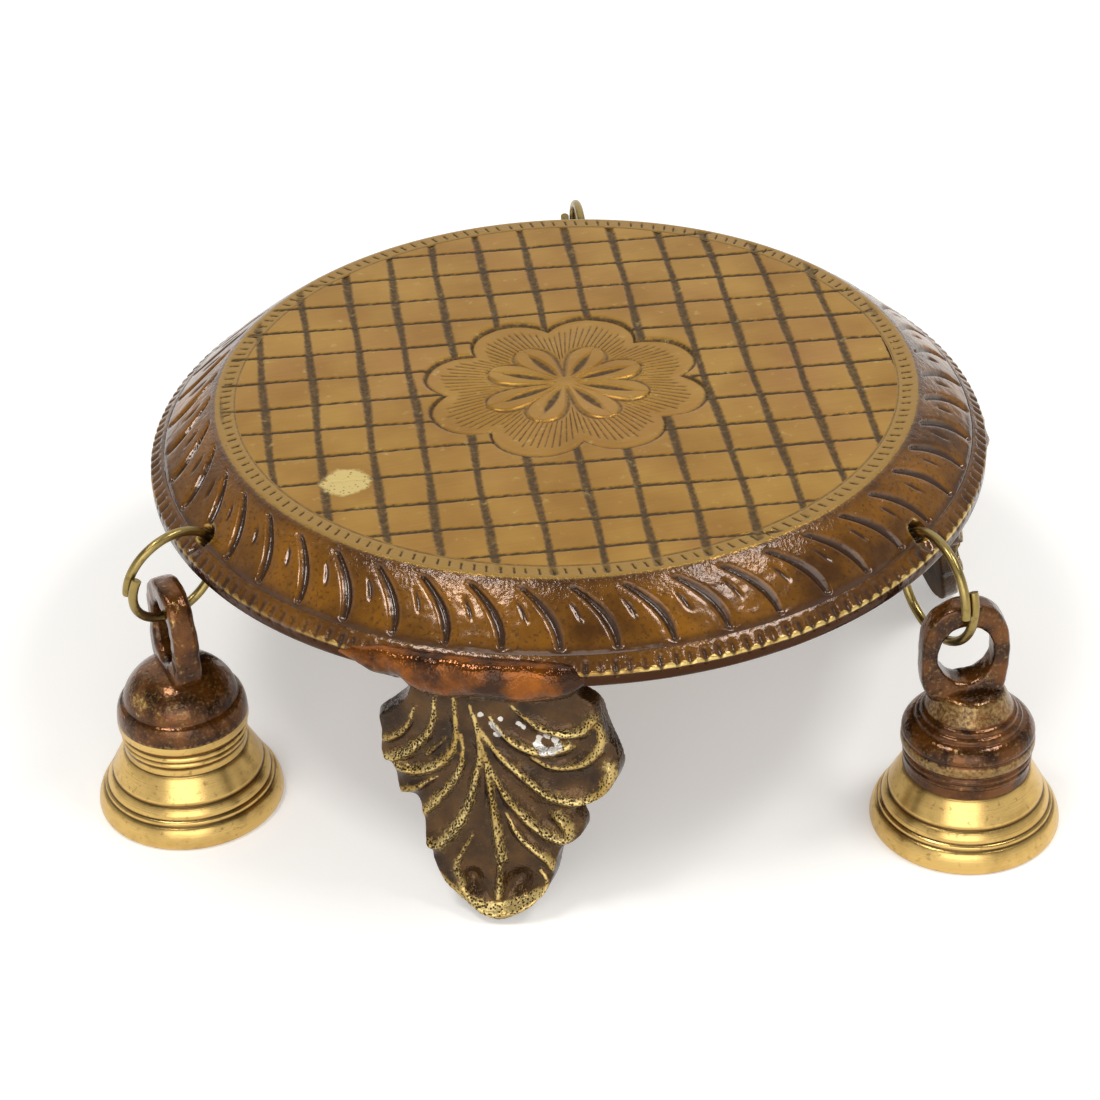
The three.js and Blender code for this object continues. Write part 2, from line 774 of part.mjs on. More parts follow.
const legBody = legSolid();
const screwBody = screwSolid();
legAngles.forEach((angle, i) => {
  const leg = new THREE.Group();
  leg.rotation.z = angle * degree;
  leg.add(namedMesh(`leg_${i + 1}`, legBody, "leaf"));
  for (const side of screwSides) {
    const screw = namedMesh(`leg_${i + 1}_screw_${side < 0 ? 1 : 2}`, screwBody, "iron");
    screw.position.set(screwCircle, (side * screwSpacing) / 2, padBottom - seatGap);
    leg.add(screw);
  }
  table.add(leg);
});

const stapleBody = stapleSolid();
const clapperBody = clapperSolid();
for (const station of stations) {
  table.add(namedMesh(`${station.name}_ring`, ringSolid(station), "wire"));
  const bell = new THREE.Group();
  bell.position.copy(bellPlace(station));
  bell.rotation.z = station.eyeTurn * degree;
  bell.add(namedMesh(`${station.name}_bell`, bellSolid(station), "bell"));
  bell.add(namedMesh(`${station.name}_clapper_staple`, stapleBody, "wire"));
  bell.add(namedMesh(`${station.name}_clapper`, clapperBody, "iron"));
  table.add(bell);
}

export default table;
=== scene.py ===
import math

import bmesh
import bpy
import numpy as np
from mathutils import Matrix, Vector


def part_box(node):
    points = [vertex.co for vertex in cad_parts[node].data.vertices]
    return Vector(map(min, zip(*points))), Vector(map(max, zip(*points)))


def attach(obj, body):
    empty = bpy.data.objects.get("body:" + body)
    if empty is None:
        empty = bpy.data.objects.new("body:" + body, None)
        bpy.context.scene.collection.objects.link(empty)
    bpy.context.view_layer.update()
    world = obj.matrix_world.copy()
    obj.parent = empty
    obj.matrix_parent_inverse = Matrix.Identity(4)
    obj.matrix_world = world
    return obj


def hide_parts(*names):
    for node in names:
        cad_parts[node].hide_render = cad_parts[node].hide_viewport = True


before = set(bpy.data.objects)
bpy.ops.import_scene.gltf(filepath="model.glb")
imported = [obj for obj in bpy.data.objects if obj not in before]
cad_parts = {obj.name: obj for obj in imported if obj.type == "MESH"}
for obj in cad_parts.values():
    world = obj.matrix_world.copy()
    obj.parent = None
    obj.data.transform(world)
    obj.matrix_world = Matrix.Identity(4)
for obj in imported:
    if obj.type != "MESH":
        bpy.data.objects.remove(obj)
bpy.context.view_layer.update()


# The studio: white paper below and a bright wall behind, in a room that is light low in front and dim above.
# Two softboxes with a gap between them hang overhead, as the gloss on the border shows, and a wide one
# stands in front. A long lens looks down. Later sections count in millimetres, this one mostly in metres.
mm = 0.001
floor_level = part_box("leg_1")[0][2]
scene = bpy.context.scene
scene.view_settings.view_transform = "Standard"

camera_data = bpy.data.cameras.new("camera")
camera_data.lens = 101.32
camera_data.sensor_width = 36
camera_data.clip_start = 0.01
camera = bpy.data.objects.new("camera", camera_data)
camera_right = Vector((0.96416, -0.26329, -0.03289))
camera_up = Vector((0.17208, 0.52614, 0.83281))
camera_back = Vector((-0.20196, -0.80861, 0.55259))
camera_turn = Matrix((camera_right, camera_up, camera_back)).transposed().to_4x4()
camera_place = Vector((-181.93, -703.47, 426.92)) * mm
camera.matrix_world = Matrix.Translation(camera_place) @ camera_turn
scene.collection.objects.link(camera)
scene.camera = camera

studio_turn = Matrix.Rotation(math.radians(-14.5), 4, "Z")


def softbox(name, place, aim, width, depth, power):
    lamp = bpy.data.lights.new(name, "AREA")
    lamp.shape = "RECTANGLE"
    lamp.size = width
    lamp.size_y = depth
    lamp.energy = power
    stand = bpy.data.objects.new(name, lamp)
    way = Vector(place) - Vector(aim)
    turn = way.to_track_quat("Z", "Y").to_matrix().to_4x4()
    stand.matrix_world = studio_turn @ Matrix.Translation(Vector(place)) @ turn
    stand.visible_camera = False
    scene.collection.objects.link(stand)


softbox("softbox_left", (-0.37, -0.28, 0.98), (0, 0, 0), 0.32, 0.22, 4)
softbox("softbox_right", (0.53, -0.17, 0.93), (0, 0, 0), 0.42, 0.22, 4.5)
softbox("softbox_front", (-0.15, -1.45, 0.55), (0, 0, -0.05), 1.3, 1.0, 9)


def fill(tree, node, inputs):
    """Gives a shader node's inputs their values: sockets are linked, and plain values set"""
    for name, value in inputs.items():
        if isinstance(value, bpy.types.NodeSocket):
            tree.links.new(value, node.inputs[name])
        else:
            node.inputs[name].default_value = value


def put(tree, kind, inputs=None, **settings):
    """Adds a shader node with its settings and inputs"""
    made = tree.nodes.new("ShaderNode" + kind)
    for name, value in settings.items():
        setattr(made, name, value)
    fill(tree, made, inputs or {})
    return made


def calculated(tree, operation, *values):
    return put(tree, "Math", dict(enumerate(values)), operation=operation).outputs[0]


def measured(tree, operation, *vectors):
    return put(tree, "VectorMath", dict(enumerate(vectors)), operation=operation).outputs["Value"]


def mapped(tree, value, start=0.0, end=1.0, low=0.0, high=1.0):
    """Runs from low to high while a value goes from start to end"""
    ends = {"From Min": start, "From Max": end, "To Min": low, "To Max": high}
    return put(tree, "MapRange", {"Value": value, **ends}).outputs[0]


def seen_directly(tree):
    """One where the camera, a reflection or a refraction looks at the surface, and zero elsewhere"""
    path = put(tree, "LightPath").outputs
    mirrored = calculated(tree, "MAXIMUM", path["Is Glossy Ray"], path["Is Transmission Ray"])
    return calculated(tree, "MAXIMUM", path["Is Camera Ray"], mirrored)


scene.world = bpy.data.worlds.new("white_room")
scene.world.use_nodes = True
room = scene.world.node_tree
room_way = put(room, "TexCoord").outputs["Generated"]
room_behind = measured(room, "DOT_PRODUCT", room_way, (0.20, 0.80, 0.56))
room_height = put(room, "SeparateXYZ", {"Vector": room_way}).outputs["Z"]
room_front = measured(room, "DOT_PRODUCT", room_way, (-0.25, -0.97, 0))
room_side = mapped(room, room_front, -0.75, 0.1, low=0.22, high=0.85)
room_low = mapped(room, room_height, 0.35, 0.7, low=room_side, high=0.14)
room_wall = mapped(room, room_behind, 0.62, 0.82, low=room_low, high=1.1)
room_level = mapped(room, seen_directly(room), low=0.4, high=room_wall)
fill(room, room.nodes["Background"], {"Color": (1, 1, 1, 1), "Strength": room_level})


def mesh_of(name, form):
    """Turns a bmesh, which this frees, into a mesh"""
    mesh = bpy.data.meshes.new(name)
    form.to_mesh(mesh)
    form.free()
    return mesh


floor_form = bmesh.new()
bmesh.ops.create_grid(floor_form, x_segments=1, y_segments=1, size=6)
bmesh.ops.translate(floor_form, verts=floor_form.verts, vec=(0, 0, floor_level))
floor_mesh = mesh_of("floor", floor_form)
floor = bpy.data.objects.new("floor", floor_mesh)
scene.collection.objects.link(floor)


def start_material(name):
    """Starts a material and returns it with its tree, its shader and the place on the piece"""
    material = bpy.data.materials.new(name)
    material.use_nodes = True
    tree = material.node_tree
    return material, tree, tree.nodes["Principled BSDF"], put(tree, "TexCoord").outputs["Object"]


# The paper glows more towards its edges, where it would be lit from behind
white_paper, tree, shader, place = start_material("white_paper")
floor_mesh.materials.append(white_paper)
paper_way = measured(tree, "LENGTH", place)
paper_glow = mapped(tree, paper_way, 0.2, 0.7, low=0.34, high=0.8)
paper_fill = mapped(tree, seen_directly(tree), high=paper_glow)
fill(tree, shader, {"Base Color": (0.8, 0.78, 0.74, 1), "Roughness": 0.9, "Specular IOR Level": 0.1,
                    "Emission Color": (1, 1, 1, 1), "Emission Strength": paper_fill})


# The plate: the flat middle of the cast top, scraped smooth and then chiselled by hand with two
# crossing sets of lines. The rosette in its middle is a disc of finer work in the same casting.
plate_radius = 89.6
rosette_radius = 41
plate_thickness = 4
panel_cell = 0.56
rosette_rows = 108
rosette_steps = 720
merge_distance = 1e-6
sharp_angle = math.radians(60)
hand = np.random.default_rng(11)

lattice_turn = math.radians(-9.57)
lattice_skew = math.radians(1.68)
lattice_centre = (4.3, -2.33)
wide_pitch = 13.215 * math.cos(lattice_skew)
narrow_pitch = 13.419 * math.cos(lattice_skew)
wide_half = 1.5
narrow_half = 0.76
line_count = 40
line_shift = hand.uniform(-0.35, 0.35, (2, line_count))
line_phase = hand.uniform(0, 2 * math.pi, (2, 3, line_count))
line_depth = hand.uniform(0.7, 1.1, (2, line_count))

# Angles in degrees and reaches of the rosette's eight cusps and eight petals, uneven as they were cut
cusp_angles = np.array([-11.1, 32.9, 84.5, 132.5, 173.5, 216.0, 263.5, 308.8, 348.9])
cusp_reaches = np.array([31.9, 28.9, 29.2, 29.6, 33.0, 32.0, 31.0, 32.0, 31.9])
petal_angles = [7.5, 50.5, 109.2, 147.1, 194.5, 234.5, 289.1, 328.1]
petal_reaches = [22.0, 20.0, 21.5, 22.0, 24.0, 21.4, 22.3, 23.4]
ray_count = 108
ray_length = hand.uniform(0.55, 1.0, ray_count)
petal_widest = 0.72
petal_half = 5.0


def ramp(low, high, value):
    """Rises smoothly from 0 at low to 1 at high"""
    t = np.clip((value - low) / (high - low), 0, 1)
    return t * t * (3 - 2 * t)


def chiselled(across, along, pitch, half, kind, first):
    """Depth share and darkness of one set of parallel lines cut by eye"""
    place = across / pitch + first
    line = np.rint(place).astype(int)
    number = np.clip(line + 12, 0, line_count - 1)
    wave = 0.3 * np.sin(along / 19 + line_phase[kind, 0][number])
    wave += 0.12 * np.sin(along / 6.1 + line_phase[kind, 1][number])
    width = half * (1 + 0.16 * np.sin(along / 9 + line_phase[kind, 2][number]))
    off = np.abs((place - line) * pitch - line_shift[kind][number] - wave)
    return line_depth[kind][number] * (1 - ramp(0.1, 1.0, off / width)), 1 - ramp(0.35, 1.2, off / width)


def lattice(x, y):
    x, y = x - lattice_centre[0], y - lattice_centre[1]
    wide_cos, wide_sin = math.cos(lattice_turn + lattice_skew), math.sin(lattice_turn + lattice_skew)
    cos, sin = math.cos(lattice_turn), math.sin(lattice_turn)
    wide = chiselled(x * wide_cos + y * wide_sin, y * wide_cos - x * wide_sin, wide_pitch, wide_half, 0, 0.5)
    narrow = chiselled(y * cos - x * sin, x * cos + y * sin, narrow_pitch, narrow_half, 1, 0)
    depth = np.maximum(0.6 * wide[0], 0.5 * narrow[0])
    return depth, np.maximum(0.75 * wide[1], 0.95 * narrow[1])


def scallop_reach(angle):
    """Reach of the rosette's eight-lobed outline at an angle in degrees"""
    turned = (angle - cusp_angles[0]) % 360 + cusp_angles[0]
    lobe = np.clip(np.searchsorted(cusp_angles, turned, side="right") - 1, 0, 7)
    along = (turned - cusp_angles[lobe]) / (cusp_angles[lobe + 1] - cusp_angles[lobe])
    cusp = cusp_reaches[lobe] + along * (cusp_reaches[lobe + 1] - cusp_reaches[lobe])
    return cusp + 7.2 * (1 - np.abs(2 * along - 1) ** 2.3)


def plate_surface(x, y):
    """Height in mm of the engraved plate, never above zero, and how dark its dirt is"""
    reach = np.hypot(x, y)
    angle = np.degrees(np.arctan2(y, x))
    cut, dark = lattice(x, y)
    outline = scallop_reach(angle)
    outside = ramp(-0.3, 0.4, reach - outline)
    scallop = np.exp(-(((reach - outline) / 0.8) ** 2))
    cut = cut * outside
    dark = dark * outside
    puffed = 0.3 * (1 - ramp(0, 4, outline - reach))
    sunk = 0.25 + 0.35 * ramp(0, 3, outline - reach) * (1 - ramp(3, 16, outline - reach)) + puffed
    height = np.where(reach < outline, -sunk, -0.03 - cut)
    far_off = -9.0
    petal_edge = np.full_like(reach, far_off)
    petal_height = np.zeros_like(reach)
    petal_dark = np.zeros_like(reach)
    for petal_angle, petal_reach in zip(petal_angles, petal_reaches):
        turn = np.radians(angle - petal_angle)
        along = reach * np.cos(turn) / petal_reach
        aside = np.abs(reach * np.sin(turn))
        inner_half = 0.4 + (petal_half - 0.4) * ramp(-0.1, petal_widest, along)
        outer_share = (along - petal_widest) / (1 - petal_widest)
        outer_half = petal_half * np.sqrt(np.clip(1 - outer_share**2, 0, 1))
        half = np.where(along < petal_widest, inner_half, outer_half)
        edge = np.where((along > 0) & (along < 1.02), half - aside, far_off)
        slot = 1.35 * np.sin(math.pi * np.clip((along - 0.16) / 0.68, 0, 1)) ** 0.7 - aside
        rise = 0.5 * ramp(-0.1, 1.4, edge) - 0.75 * ramp(-1.1, 0.9, slot)
        better = edge > petal_edge
        petal_height = np.where(better & (edge > -0.2), rise, petal_height)
        petal_dark = np.where(better & (edge > -0.2), 0.75 * ramp(-0.3, 0.9, slot), petal_dark)
        petal_edge = np.maximum(petal_edge, edge)
    contour = np.exp(-(((petal_edge + 0.5) / 0.7) ** 2))
    ray = ((angle % 360) / 360 * ray_count) % 1
    ray_number = np.clip(((angle % 360) / 360 * ray_count).astype(int), 0, ray_count - 1)
    ray_end = 3 + 5 * (1 - ray_length[ray_number])
    rays = ramp(0.25, 0.45, ray) * (1 - ramp(0.55, 0.75, ray))
    rays = rays * ramp(0.8, 2.0, -petal_edge) * ramp(0, 1.5, outline - reach - ray_end) * ramp(9, 11, reach)
    inside = np.where(reach < outline, 1.0, 0.0)
    height = height + inside * (petal_height - 0.35 * contour - 0.25 * rays) - 0.5 * scallop
    boss = 1 - ramp(2.2, 3.2, reach)
    height = height * (1 - 0.8 * boss)
    dark = np.maximum(dark, 0.8 * scallop)
    dark = np.maximum(dark, inside * np.maximum(np.maximum(petal_dark, 0.6 * contour), 0.62 * rays))
    return np.minimum(height, 0), dark * (1 - boss)


def places(vertices):
    return np.array([vertex.co for vertex in vertices])


def move_points(vertices, points):
    for vertex, point in zip(vertices, (points * mm).tolist()):
        vertex.co = point


def boundary(form):
    return [edge for edge in form.edges if edge.is_boundary]


def face_outward(form):
    bmesh.ops.recalc_face_normals(form, faces=form.faces)


def spun(profile, steps, closed=True):
    """Turns a profile of radius and height about Z, closed on itself or ending on the axis"""
    line = np.array([*profile, profile[0]] if closed else profile, dtype=float)
    form = bmesh.new()
    bmesh.ops.create_grid(form, x_segments=steps, y_segments=len(line) - 1, size=1)
    grid = places(form.verts)
    turn = (grid[:, 0] + 1) * math.pi
    row = np.rint((grid[:, 1] + 1) / 2 * (len(line) - 1)).astype(int)
    radius, height = line[row].T
    move_points(form.verts, np.stack([radius * np.cos(turn), radius * np.sin(turn), height], axis=1))
    bmesh.ops.remove_doubles(form, verts=form.verts, dist=merge_distance)
    face_outward(form)
    return form


def piece_of_mesh(name, mesh, body, material, slot, *nodes):
    """Makes a finished piece of a mesh and hangs it on its body"""
    mesh.name = name
    mesh.shade_smooth()
    mesh.materials.clear()
    mesh.materials.append(material)
    piece = bpy.data.objects.new(name, mesh)
    scene.collection.objects.link(piece)
    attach(piece, body)
    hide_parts(*nodes)


def piece_of_form(name, form, *rest):
    mesh = mesh_of(name, form)
    piece_of_mesh(name, mesh, *rest)
    mesh.set_sharp_from_angle(angle=sharp_angle)


def mark_points(form, **marks):
    """Keeps a value for each point under each name, for the materials to read"""
    for name, values in marks.items():
        layer = form.verts.layers.float.new(name)
        for vertex, value in zip(form.verts, values.tolist()):
            vertex[layer] = value


def group(name, inputs, outputs):
    """Starts a shader node group with named sockets and returns its tree, input sockets and output node"""
    tree = bpy.data.node_groups.new(name, "ShaderNodeTree")
    for in_out, labels in (("INPUT", inputs), ("OUTPUT", outputs)):
        for label in labels:
            tree.interface.new_socket(label, in_out=in_out, socket_type="NodeSocketFloat")
    return tree, tree.nodes.new("NodeGroupInput").outputs, tree.nodes.new("NodeGroupOutput")


def noise(tree, place, scale, detail, roughness=0.5):
    inputs = {"Vector": place, "Scale": scale, "Detail": detail, "Roughness": roughness}
    return put(tree, "TexNoise", inputs).outputs[0]


# Sand-cast skin: a fine grain with scattered pits, as a height and as a mask of the pits
grain_labels = ["Grain Scale", "Pit Scale", "Pit Size"]
grain_tree, grain_in, grain_out = group("cast_grain", grain_labels, ["Height", "Pits"])
grain_place = put(grain_tree, "TexCoord").outputs["Object"]
grain_pits = put(grain_tree, "TexVoronoi", {"Vector": grain_place, "Scale": grain_in["Pit Scale"]})
pit_size = calculated(grain_tree, "MULTIPLY", grain_in["Pit Size"], noise(grain_tree, grain_place, 60.0, 2.0))
pit_floor = calculated(grain_tree, "MULTIPLY", pit_size, 0.5)
pit_mask = mapped(grain_tree, grain_pits.outputs["Distance"], pit_floor, pit_size, low=1.0, high=0.0)
grain_noise = noise(grain_tree, grain_place, grain_in["Grain Scale"], 3.0)
grain_height = calculated(grain_tree, "MULTIPLY_ADD", pit_mask, -0.8, grain_noise)
fill(grain_tree, grain_out, {"Height": grain_height, "Pits": pit_mask})

# Broken edge: turns a mark such as relief or darkness into a mask with a ragged, blotchy border
ragged_labels = ["Mark", "Start", "Full", "Ragged", "Blotch Scale"]
ragged_tree, ragged_in, ragged_out = group("ragged_mask", ragged_labels, ["Mask"])
ragged_place = put(ragged_tree, "TexCoord").outputs["Object"]
ragged_noise = noise(ragged_tree, ragged_place, ragged_in["Blotch Scale"], 4.0, 0.65)
ragged_low = calculated(ragged_tree, "SUBTRACT", ragged_noise, 0.5)
ragged_sum = calculated(ragged_tree, "MULTIPLY_ADD", ragged_low, ragged_in["Ragged"], ragged_in["Mark"])
ragged_mask = put(ragged_tree, "MapRange", {"Value": ragged_sum, "From Min": ragged_in["Start"],
                                            "From Max": ragged_in["Full"]}, interpolation_type="SMOOTHSTEP")
fill(ragged_tree, ragged_out, {"Mask": ragged_mask.outputs[0]})


def cast_grain(tree, *values):
    """Height and Pits of the cast skin, from the scale of its grain and the scale and size of its pits"""
    return put(tree, "Group", dict(zip(grain_labels, values)), node_tree=grain_tree).outputs


def mark_of(tree, name):
    return put(tree, "Attribute", attribute_name=name).outputs["Fac"]


def ragged(tree, mark, *values):
    """Where a mark, by its name or as a socket, rises from start to full, how raggedly and how finely"""
    mark = mark_of(tree, mark) if isinstance(mark, str) else mark
    inputs = dict(zip(ragged_labels, (mark, *values)))
    return put(tree, "Group", inputs, node_tree=ragged_tree).outputs["Mask"]


def blend(tree, factor, first, second, kind="MIX"):
    """Mixes two colours, each a socket or red, green and blue"""
    def colour(value):
        return value if isinstance(value, bpy.types.NodeSocket) else (*value, 1)
    inputs = {0: factor, 6: colour(first), 7: colour(second)}
    return put(tree, "Mix", inputs, data_type="RGBA", blend_type=kind).outputs[2]


def bumped(tree, shader, height, distance, strength=1.0):
    node = put(tree, "Bump", {"Height": height, "Distance": distance, "Strength": strength})
    fill(tree, shader, {"Normal": node.outputs[0]})


# Scraped brass: olive gold with faint scraping streaks, brown grime in the cuts and a paler worn spot
plate_brass, tree, shader, place = start_material("plate_brass")
cloud = mapped(tree, noise(tree, place, 38.0, 3.0), 0.35, 0.65)
tone = blend(tree, cloud, (0.315, 0.158, 0.030), (0.41, 0.230, 0.049))
blush = mapped(tree, noise(tree, place, 22.0, 2.0), 0.5, 0.7, high=0.35)
tone = blend(tree, blush, tone, (0.37, 0.175, 0.062))
streak_place = put(tree, "Mapping", {"Vector": place, "Rotation": (0, 0, 0.2), "Scale": (60, 1400, 60)})
streaks = noise(tree, streak_place.outputs[0], 1.0, 3.0)
streak_level = mapped(tree, streaks, 0.3, 0.7, low=0.35, high=0.62)
tone = blend(tree, 0.15, tone, streak_level, "OVERLAY")
spot_way = measured(tree, "DISTANCE", place, (-0.0679, -0.0314, 0))
spot_mark = mapped(tree, spot_way, 0.0075, 0.0035)
spot = ragged(tree, spot_mark, 0.1, 0.5, 1.2, 260.0)
darkening_in_cuts = ragged(tree, "dark", 0.1, 0.9, 0.9, 760.0)
tone = blend(tree, darkening_in_cuts, tone, (0.066, 0.036, 0.010))
scuffed = cast_grain(tree, 900.0, 900.0, 0.6)["Pits"]
tone = blend(tree, spot, tone, blend(tree, scuffed, (0.62, 0.48, 0.185), (0.30, 0.17, 0.04)))
plate_metal, plate_rough = mapped(tree, darkening_in_cuts, low=1.0, high=0.55), mapped(tree, darkening_in_cuts, low=0.40, high=0.62)
fill(tree, shader, {"Base Color": tone, "Metallic": plate_metal, "Roughness": plate_rough})
grain = cast_grain(tree, 1300.0, 500.0, 0.16)["Height"]
skin = calculated(tree, "MULTIPLY_ADD", streaks, 0.3, grain)
bumped(tree, shader, skin, 0.00006, 0.6)


def engrave(form):
    """Cuts the pattern into a flat form of the plate, and hangs a skirt from its edges"""
    points = places(form.verts) / mm
    points[:, 2], dark = plate_surface(points[:, 0], points[:, 1])
    move_points(form.verts, points)
    mark_points(form, dark=dark)
    for part in bmesh.ops.extrude_edge_only(form, edges=boundary(form))["geom"]:
        if isinstance(part, bmesh.types.BMVert):
            part.co.z = -plate_thickness * mm


panel = bmesh.new()
panel_count = 2 * math.ceil(plate_radius / panel_cell)
panel_half = panel_count * panel_cell * mm / 2
bmesh.ops.create_grid(panel, x_segments=panel_count, y_segments=panel_count, size=panel_half)
nearest, furthest = (rosette_radius - 0.2) * mm, (plate_radius + 0.2) * mm
waste = [vertex for vertex in panel.verts if not nearest < vertex.co.length < furthest]
bmesh.ops.delete(panel, geom=waste, context="VERTS")
for vertex in panel.verts:
    if vertex.is_boundary:
        outer = vertex.co.length > (plate_radius + rosette_radius) / 2 * mm
        vertex.co *= (plate_radius if outer else rosette_radius) * mm / vertex.co.length
panel.verts.index_update()
engrave(panel)
bmesh.ops.bridge_loops(panel, edges=boundary(panel))
face_outward(panel)
piece_of_form("plate_lattice", panel, "base", plate_brass, "top_brass", "table_top")

rosette_line = [(rosette_radius * i / rosette_rows, 0) for i in range(rosette_rows + 1)]
rosette = spun(rosette_line, rosette_steps, closed=False)
engrave(rosette)
bmesh.ops.holes_fill(rosette, edges=boundary(rosette))
face_outward(rosette)
piece_of_form("plate_rosette", rosette, "base", plate_brass, "top_brass", "table_top")


# The border: the same casting beyond the plate. A narrow ticked band, then a slope of slanting
# gadroons with a comma nick in each, lacquered brown over the brass, and drilled for the three rings.
edge_radius = 95
rim_radius = 114.3
slope_drop = 16
rim_height = 3.7
rim_foot = -slope_drop - rim_height
groove_radius = 110.4
border_steps = 1440
flute_count = 48
flute_top = 96.6
flute_bottom = 109.8
flute_shift = 11.0
flute_circle = 103
line_circle = 89.9
tick_circle = 92.4
tick_count = 176
nick_count = 190
slope_angle = math.atan2(slope_drop, rim_radius - edge_radius)
flute_wander = hand.uniform(-0.5, 0.5, flute_count)
flute_depth = hand.uniform(0.85, 1.15, flute_count)
tick_wander = hand.uniform(-0.16, 0.16, (3, tick_count))
nick_wander = hand.uniform(-0.15, 0.15, (3, nick_count))


def slope_level(radius):
    return -(radius - edge_radius) * slope_drop / (rim_radius - edge_radius)


def slope_point(radius):
    return radius, slope_level(radius)


def spaced(corners, spacing):
    """Points along straight runs between corners of radius and height, at about even spacing"""
    line = []
    for start, end in zip(corners, corners[1:]):
        count = max(1, round(math.dist(start, end) / spacing))
        line += [(start[0] + (end[0] - start[0]) * i / count, start[1] + (end[1] - start[1]) * i / count)
                 for i in range(count)]
    return line


def border_surface(x, y, z):
    """How far the slope and the ticked band are cut, and how dark and how worn they are"""
    radius = np.hypot(x, y)
    angle = np.degrees(np.arctan2(y, x)) % 360
    share = np.clip((radius - flute_top) / (flute_bottom - flute_top), 0, 1)
    shift = flute_shift * (1 - (1 - share) ** 2.3)
    turn = (angle - np.degrees(shift / flute_circle)) / 360 * flute_count
    number = np.rint(turn).astype(int) % flute_count
    off = (turn - np.rint(turn) - 0.045 * flute_wander[number]) * 2 * math.pi * radius / flute_count
    half = 2.1 * (0.35 + 0.65 * np.sin(math.pi * np.clip(0.1 + 0.9 * share, 0, 1)) ** 0.7)
    on_slope = ramp(0, 0.07, share) * (1 - ramp(0.94, 1.0, share))
    flute = on_slope * (1 - ramp(0.15, 1.0, np.abs(off) / half)) * flute_depth[number]
    between = (turn % 1) - 0.5
    crown = on_slope * np.clip(1 - (between / 0.5) ** 2, 0, 1)
    nick_along = (share - 0.42) / 0.17
    nick_off = (between - 0.05 - 0.02 * flute_wander[number]) * 2 * math.pi * radius / flute_count
    nick = np.exp(-((nick_off + 0.7 * nick_along) / 0.75) ** 2) * np.exp(-np.abs(nick_along) ** 3)
    cut = 1.0 * flute - 0.45 * crown + 0.6 * nick + 0.32 * on_slope
    level_top = z > -1
    top_line = np.exp(-((radius - line_circle) / 0.3) ** 2) * level_top
    tick_turn = angle / 360 * tick_count
    tick = np.floor(tick_turn).astype(int) % tick_count
    tick_off = (tick_turn % 1 - 0.5 - 0.6 * tick_wander[0][tick]) * 2 * math.pi * tick_circle / tick_count
    tick_off = tick_off - 0.22 * (radius - tick_circle)
    tick_mark = (1 - ramp(0.12, 0.5, np.abs(tick_off))) * ramp(90.8, 91.3, radius - tick_wander[1][tick])
    tick_mark = tick_mark * (1 - ramp(93.3, 93.9, radius + 2 * tick_wander[2][tick])) * level_top
    bottom_line = np.exp(-((radius - groove_radius + 0.1) / 0.5) ** 2) * (z > -15)
    cut = cut + 0.2 * top_line + 0.34 * tick_mark + 0.2 * bottom_line
    lines, lines_dark = lattice(x, y)
    run_over = (1 - ramp(93.5, 94.6, radius)) * level_top
    run_over = run_over * ramp(0.2, 0.8, np.sin(3 * np.radians(angle)) + 0.3)
    cut = cut + 0.6 * lines * run_over
    dark = np.maximum.reduce([0.95 * flute, 0.8 * nick, 0.55 * top_line, 0.8 * tick_mark, 0.35 * bottom_line,
                              0.7 * lines_dark * run_over])
    worn = np.where(z > -0.9, 1.0 - 0.6 * ramp(edge_radius - 0.5, edge_radius + 0.7, radius), 0)
    return cut, dark, worn


def rim_surface(x, y, z):
    """Cuts, darkness and wear of the serrated band along the rim, and of its upright edge"""
    radius = np.hypot(x, y)
    turn = np.degrees(np.arctan2(y, x)) % 360 / 360 * nick_count
    nick = np.floor(turn).astype(int) % nick_count
    off = np.abs(turn % 1 - 0.5 - 0.5 * nick_wander[0][nick]) * 2 * math.pi * rim_radius / nick_count
    top = z > -slope_drop - 0.9
    mark = (1 - ramp(0.3, 1.1, off)) * ramp(110.9, 112.2, radius + nick_wander[1][nick]) * top
    mark = mark * (1 + 2 * nick_wander[2][nick])
    line = np.exp(-((radius - groove_radius + 0.1) / 0.5) ** 2) * (z > -15)
    cut = 0.42 * mark + 0.17 * line
    lip = rim_radius - 0.25 - 0.5 * ramp(0.4, 1.6, off)
    degrees = turn * 360 / nick_count
    patchy = 0.2 + 1.25 * ramp(256, 262, degrees) * (1 - ramp(316, 330, degrees))
    patchy = patchy + 0.4 * ramp(20, 60, degrees) + 0.35 * np.sin(np.radians(degrees) * 23)
    patchy = patchy + 3 * nick_wander[0][nick]
    scallop = patchy * ramp(lip - 0.15, lip + 0.15, radius) * (z > -slope_drop - 0.5)
    return cut, np.maximum(0.55 * mark, 0.35 * line), scallop


# Where each ring goes through the border, how it is turned and leans, and how far its middle drops
ring_stations = {
    "right": {"hole": -49.3, "turn": -76, "lean": 0, "drop": 46, "radius": 15},
    "left": {"hole": -165.5, "turn": -156, "lean": -12, "drop": 33, "radius": 13.3},
    "back": {"hole": 72, "turn": 84, "lean": 0, "drop": 46, "radius": 15},
}
hole_circle = 107.5
hole_level = slope_level(hole_circle) - 2.4
hole_radius = 2.9
hole_depth = 3.0


def ring_frame(station):
    hole = math.radians(station["hole"])
    place = Vector((hole_circle * math.cos(hole), hole_circle * math.sin(hole), hole_level)) * mm
    turned = Matrix.Rotation(math.radians(station["turn"]), 4, "Z")
    return Matrix.Translation(place) @ turned @ Matrix.Rotation(math.radians(90 + station["lean"]), 4, "X")


